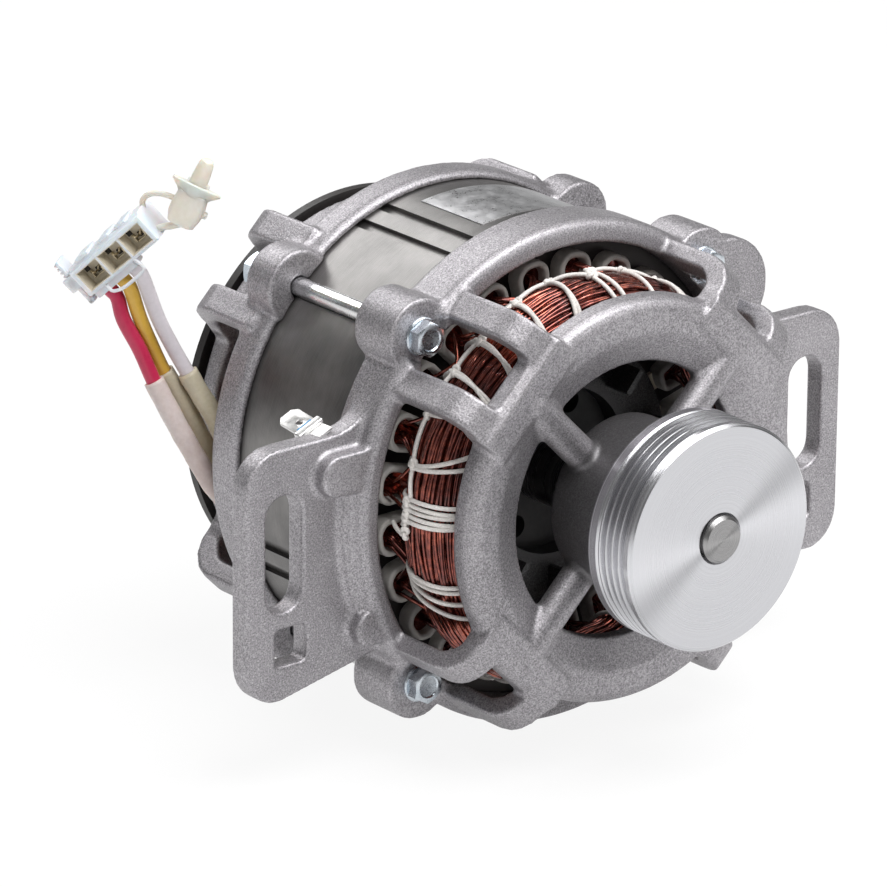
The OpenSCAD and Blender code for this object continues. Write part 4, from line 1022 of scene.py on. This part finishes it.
def connectorRocker():
    n = connectorSet
    x = n["latchX"]
    turns = [2 * math.pi * k / 32 for k in range(32)]
    barrel = loft("barrel", [[(x + r * math.cos(t), y, r * math.sin(t)) for t in turns]
                             for r, y in n["barrel"]], loop=True)
    parts = [barrel, boxed("pad", (x - 0.6, -3, 1.3), (x + 0.6, 3, 6.5), 0.4),
             boxed("tail", (x - 0.6, -3, -7), (x + 0.6, 3, -1.3), 0.4),
             boxed("hook", (x - 0.6, -3, -7), (x + 1.2, 3, -5.6), 0.4)]
    for k in range(n["teeth"]):
        up = n["toothPitch"] * k
        parts.append(boxed("tooth", (x - 1.2, -2.8, 2.0 + up), (x - 0.4, 2.8, 2.7 + up), 0.25))
    rocker = placed(smooth(joined("connector_rocker", parts), 35), connectorPlace)
    return dress(rocker, nylon, "latch", "white_nylon", ["connector_latch"])


# push-in clip: stem, lens-shaped flange and block, tied to the connector by two strands
clipSet = {
    "place": (25.2, 0.0, -2.5), "tilt": 66.0, "lensTilt": -20.0, "lensLift": 0.4,
    "stem": [(1.5, 1.2), (2.2, 1.6), (2.3, 2.6), (2.25, 4.4), (2.05, 6.6), (1.9, 8.0), (1.55, 9.0),
             (0.95, 9.35), (0.1, 9.55)],
    "flange": [(0.3, 0.2, 1.4), (6.3, 3.7, 1.4), (6.5, 4.0, 1.1), (6.4, 3.9, 0.6), (5.6, 3.7, 0.0),
               (4.6, 3.4, -0.8), (3.9, 3.2, -1.6), (0.3, 0.2, -1.6)],
    "block": [(2.9, 2.6, -9.0), (3.5, 3.1, -8.6), (4.2, 3.5, -6.2), (4.25, 3.5, -4.0), (3.9, 3.4, -1.4),
              (3.7, 3.3, 0.4)],
    "collar": ((-2.9, -2.6, 1.0), (2.9, 2.6, 2.2)), "nub": ((3.8, -1.0, -5.4), (5.3, 1.0, -3.9)),
    "line": ((-1.6, -2.68, 1.45), (1.6, -2.4, 1.7)),
    "upperStrand": [(11.2, 2, 2.2), (12.4, 2, 3.8), (14.6, 1.7, 4.2), (16.8, 1.2, 3.3), (18.6, 0.7, 1.6),
                    (20, 0.3, -0.4)],
    "lowerStrand": [(11.4, -1, -3.4), (13.2, -1, -4), (15, -0.8, -5.2), (17.4, -0.5, -6.4)],
}


# oval rings of half sizes a and b at z, squarer or sharper by the two powers
def ovalRings(rings, powerA, powerB):
    turns = [2 * math.pi * k / 48 for k in range(48)]
    return [[(a * math.copysign(abs(math.cos(t)) ** powerA, math.cos(t)),
              b * math.copysign(abs(math.sin(t)) ** powerB, math.sin(t)), z) for t in turns]
            for a, b, z in rings]


def pushClip():
    n = clipSet
    turns = [2 * math.pi * k / 48 for k in range(48)]
    stem = loft("stem", [[(r * math.cos(t), r * math.sin(t), z) for t in turns] for r, z in n["stem"]])
    lens = loft("lens", ovalRings(n["flange"], 0.9, 1.35))
    lean = Matrix.Rotation(math.radians(n["lensTilt"]), 4, "X")
    placed(lens, Matrix.Translation((0, 0, n["lensLift"] * mm)) @ lean)
    block = loft("block", ovalRings(n["block"], 0.45, 0.45))
    collar = boxed("collar", *n["collar"], 0.35)
    nub = boxed("nub", *n["nub"], 0.5)
    # painted shade: a near-black strip across the collar
    line = painted(boxed("line", *n["line"], 0.08), paintedShadeBlack)
    pale = [painted(part, creamNylon) for part in (stem, lens, block, collar, nub)]
    tilt = Matrix.Rotation(math.radians(n["tilt"]), 4, "Y")
    place = connectorPlace @ Matrix.Translation(Vector(n["place"]) * mm) @ tilt
    clip = placed(smooth(joined("push_clip_body", pale + [line]), 40), place)
    strands = joined("push_clip_strands", [tubes("upper", [flowing(n["upperStrand"], 0.5)], 0.75, 4),
                                           tubes("lower", [flowing(n["lowerStrand"], 0.5)], 0.95, 4)])
    placed(strands, connectorPlace)
    dress(clip, None, "motor_frame", "cream_nylon", ["push_clip"])
    dress(strands, creamNylon, "motor_frame", "cream_nylon", ["clip_strands"])
    return [clip, strands]


connectorPieces = connectorBody() + [connectorRocker()] + pushClip()
print("connector made")

# floor and light
stageSet = {
    "floorZ": -64.75, "floorSize": 40.0, "floorTone": 0.9, "white": 0.9, "glossyShare": 0.62, "sky": 0.21,
}
lightSet = {
    "topBox": {"place": (0.05, -0.42, 1.05), "size": (1.0, 0.7), "power": 18},
    "frontBox": {"place": (0.72, -0.7, 0.72), "size": (0.6, 0.6), "power": 3.2},
    "leftBox": {"place": (-1.3, -0.45, 0.45), "size": (0.7, 1.0), "power": 1.3},
    "backBox": {"place": (0, 0.95, 0.88), "size": (1.0, 0.45), "power": 7},
}


# floor that the camera sees nearly white, with a soft shadow
def makeFloor(setup):
    bpy.ops.mesh.primitive_plane_add(size=setup["floorSize"], location=(0, 0, setup["floorZ"] * mm))
    floor = settle(bpy.context.view_layer.objects.active)
    floor.name = "floor"
    tone = setup["floorTone"]
    f = Finish("paleFloor", Roughness=0.9, Base_Color=rgb(tone, tone, tone))
    path = f.add("ShaderNodeLightPath").socket.node
    camera, glossy, through = (Sock(f, path.outputs["Is " + ray + " Ray"])
                               for ray in ("Camera", "Glossy", "Transmission"))
    seen = camera + glossy * setup["glossyShare"] + through
    share = f.add("ShaderNodeMath", {"operation": "MINIMUM"}, {0: seen, 1: 1.0}) * setup["white"]
    glow = f.add("ShaderNodeEmission", {}, {"Color": rgb(1, 1, 1), "Strength": 1.0})
    both = f.add("ShaderNodeMixShader", {}, {0: share, 1: Sock(f, f.shader.outputs[0]), 2: glow})
    f.tree.links.new(both.socket, f.tree.nodes["Material Output"].inputs[0])
    floor.data.materials.append(f.material)


# soft box that faces the origin
def makeLight(name, place, size, power):
    data = bpy.data.lights.new(name, "AREA")
    data.shape = "RECTANGLE"
    data.size, data.size_y = size
    data.energy = power
    lamp = bpy.data.objects.new(name, data)
    bpy.context.scene.collection.objects.link(lamp)
    lamp.location = place
    lamp.rotation_euler = (Vector() - Vector(place)).to_track_quat("-Z", "Y").to_euler()


makeFloor(stageSet)
for name, setup in lightSet.items():
    makeLight(name, **setup)

world = bpy.data.worlds.new("studio")
bpy.context.scene.world = world
world.use_nodes = True
sky = world.node_tree.nodes["Background"]
sky.inputs["Color"].default_value = rgb(1, 1, 1)
sky.inputs["Strength"].default_value = stageSet["sky"]
bpy.context.scene.view_settings.view_transform = "Standard"
print("stage made")

# the red lead carries the connector and its clip
for colour in ("red", "yellow", "white"):
    path = [[c * mm for c in p] for p in leadPaths[colour]]
    carried = [sleeves[colour]] + (connectorPieces if colour == "red" else [])
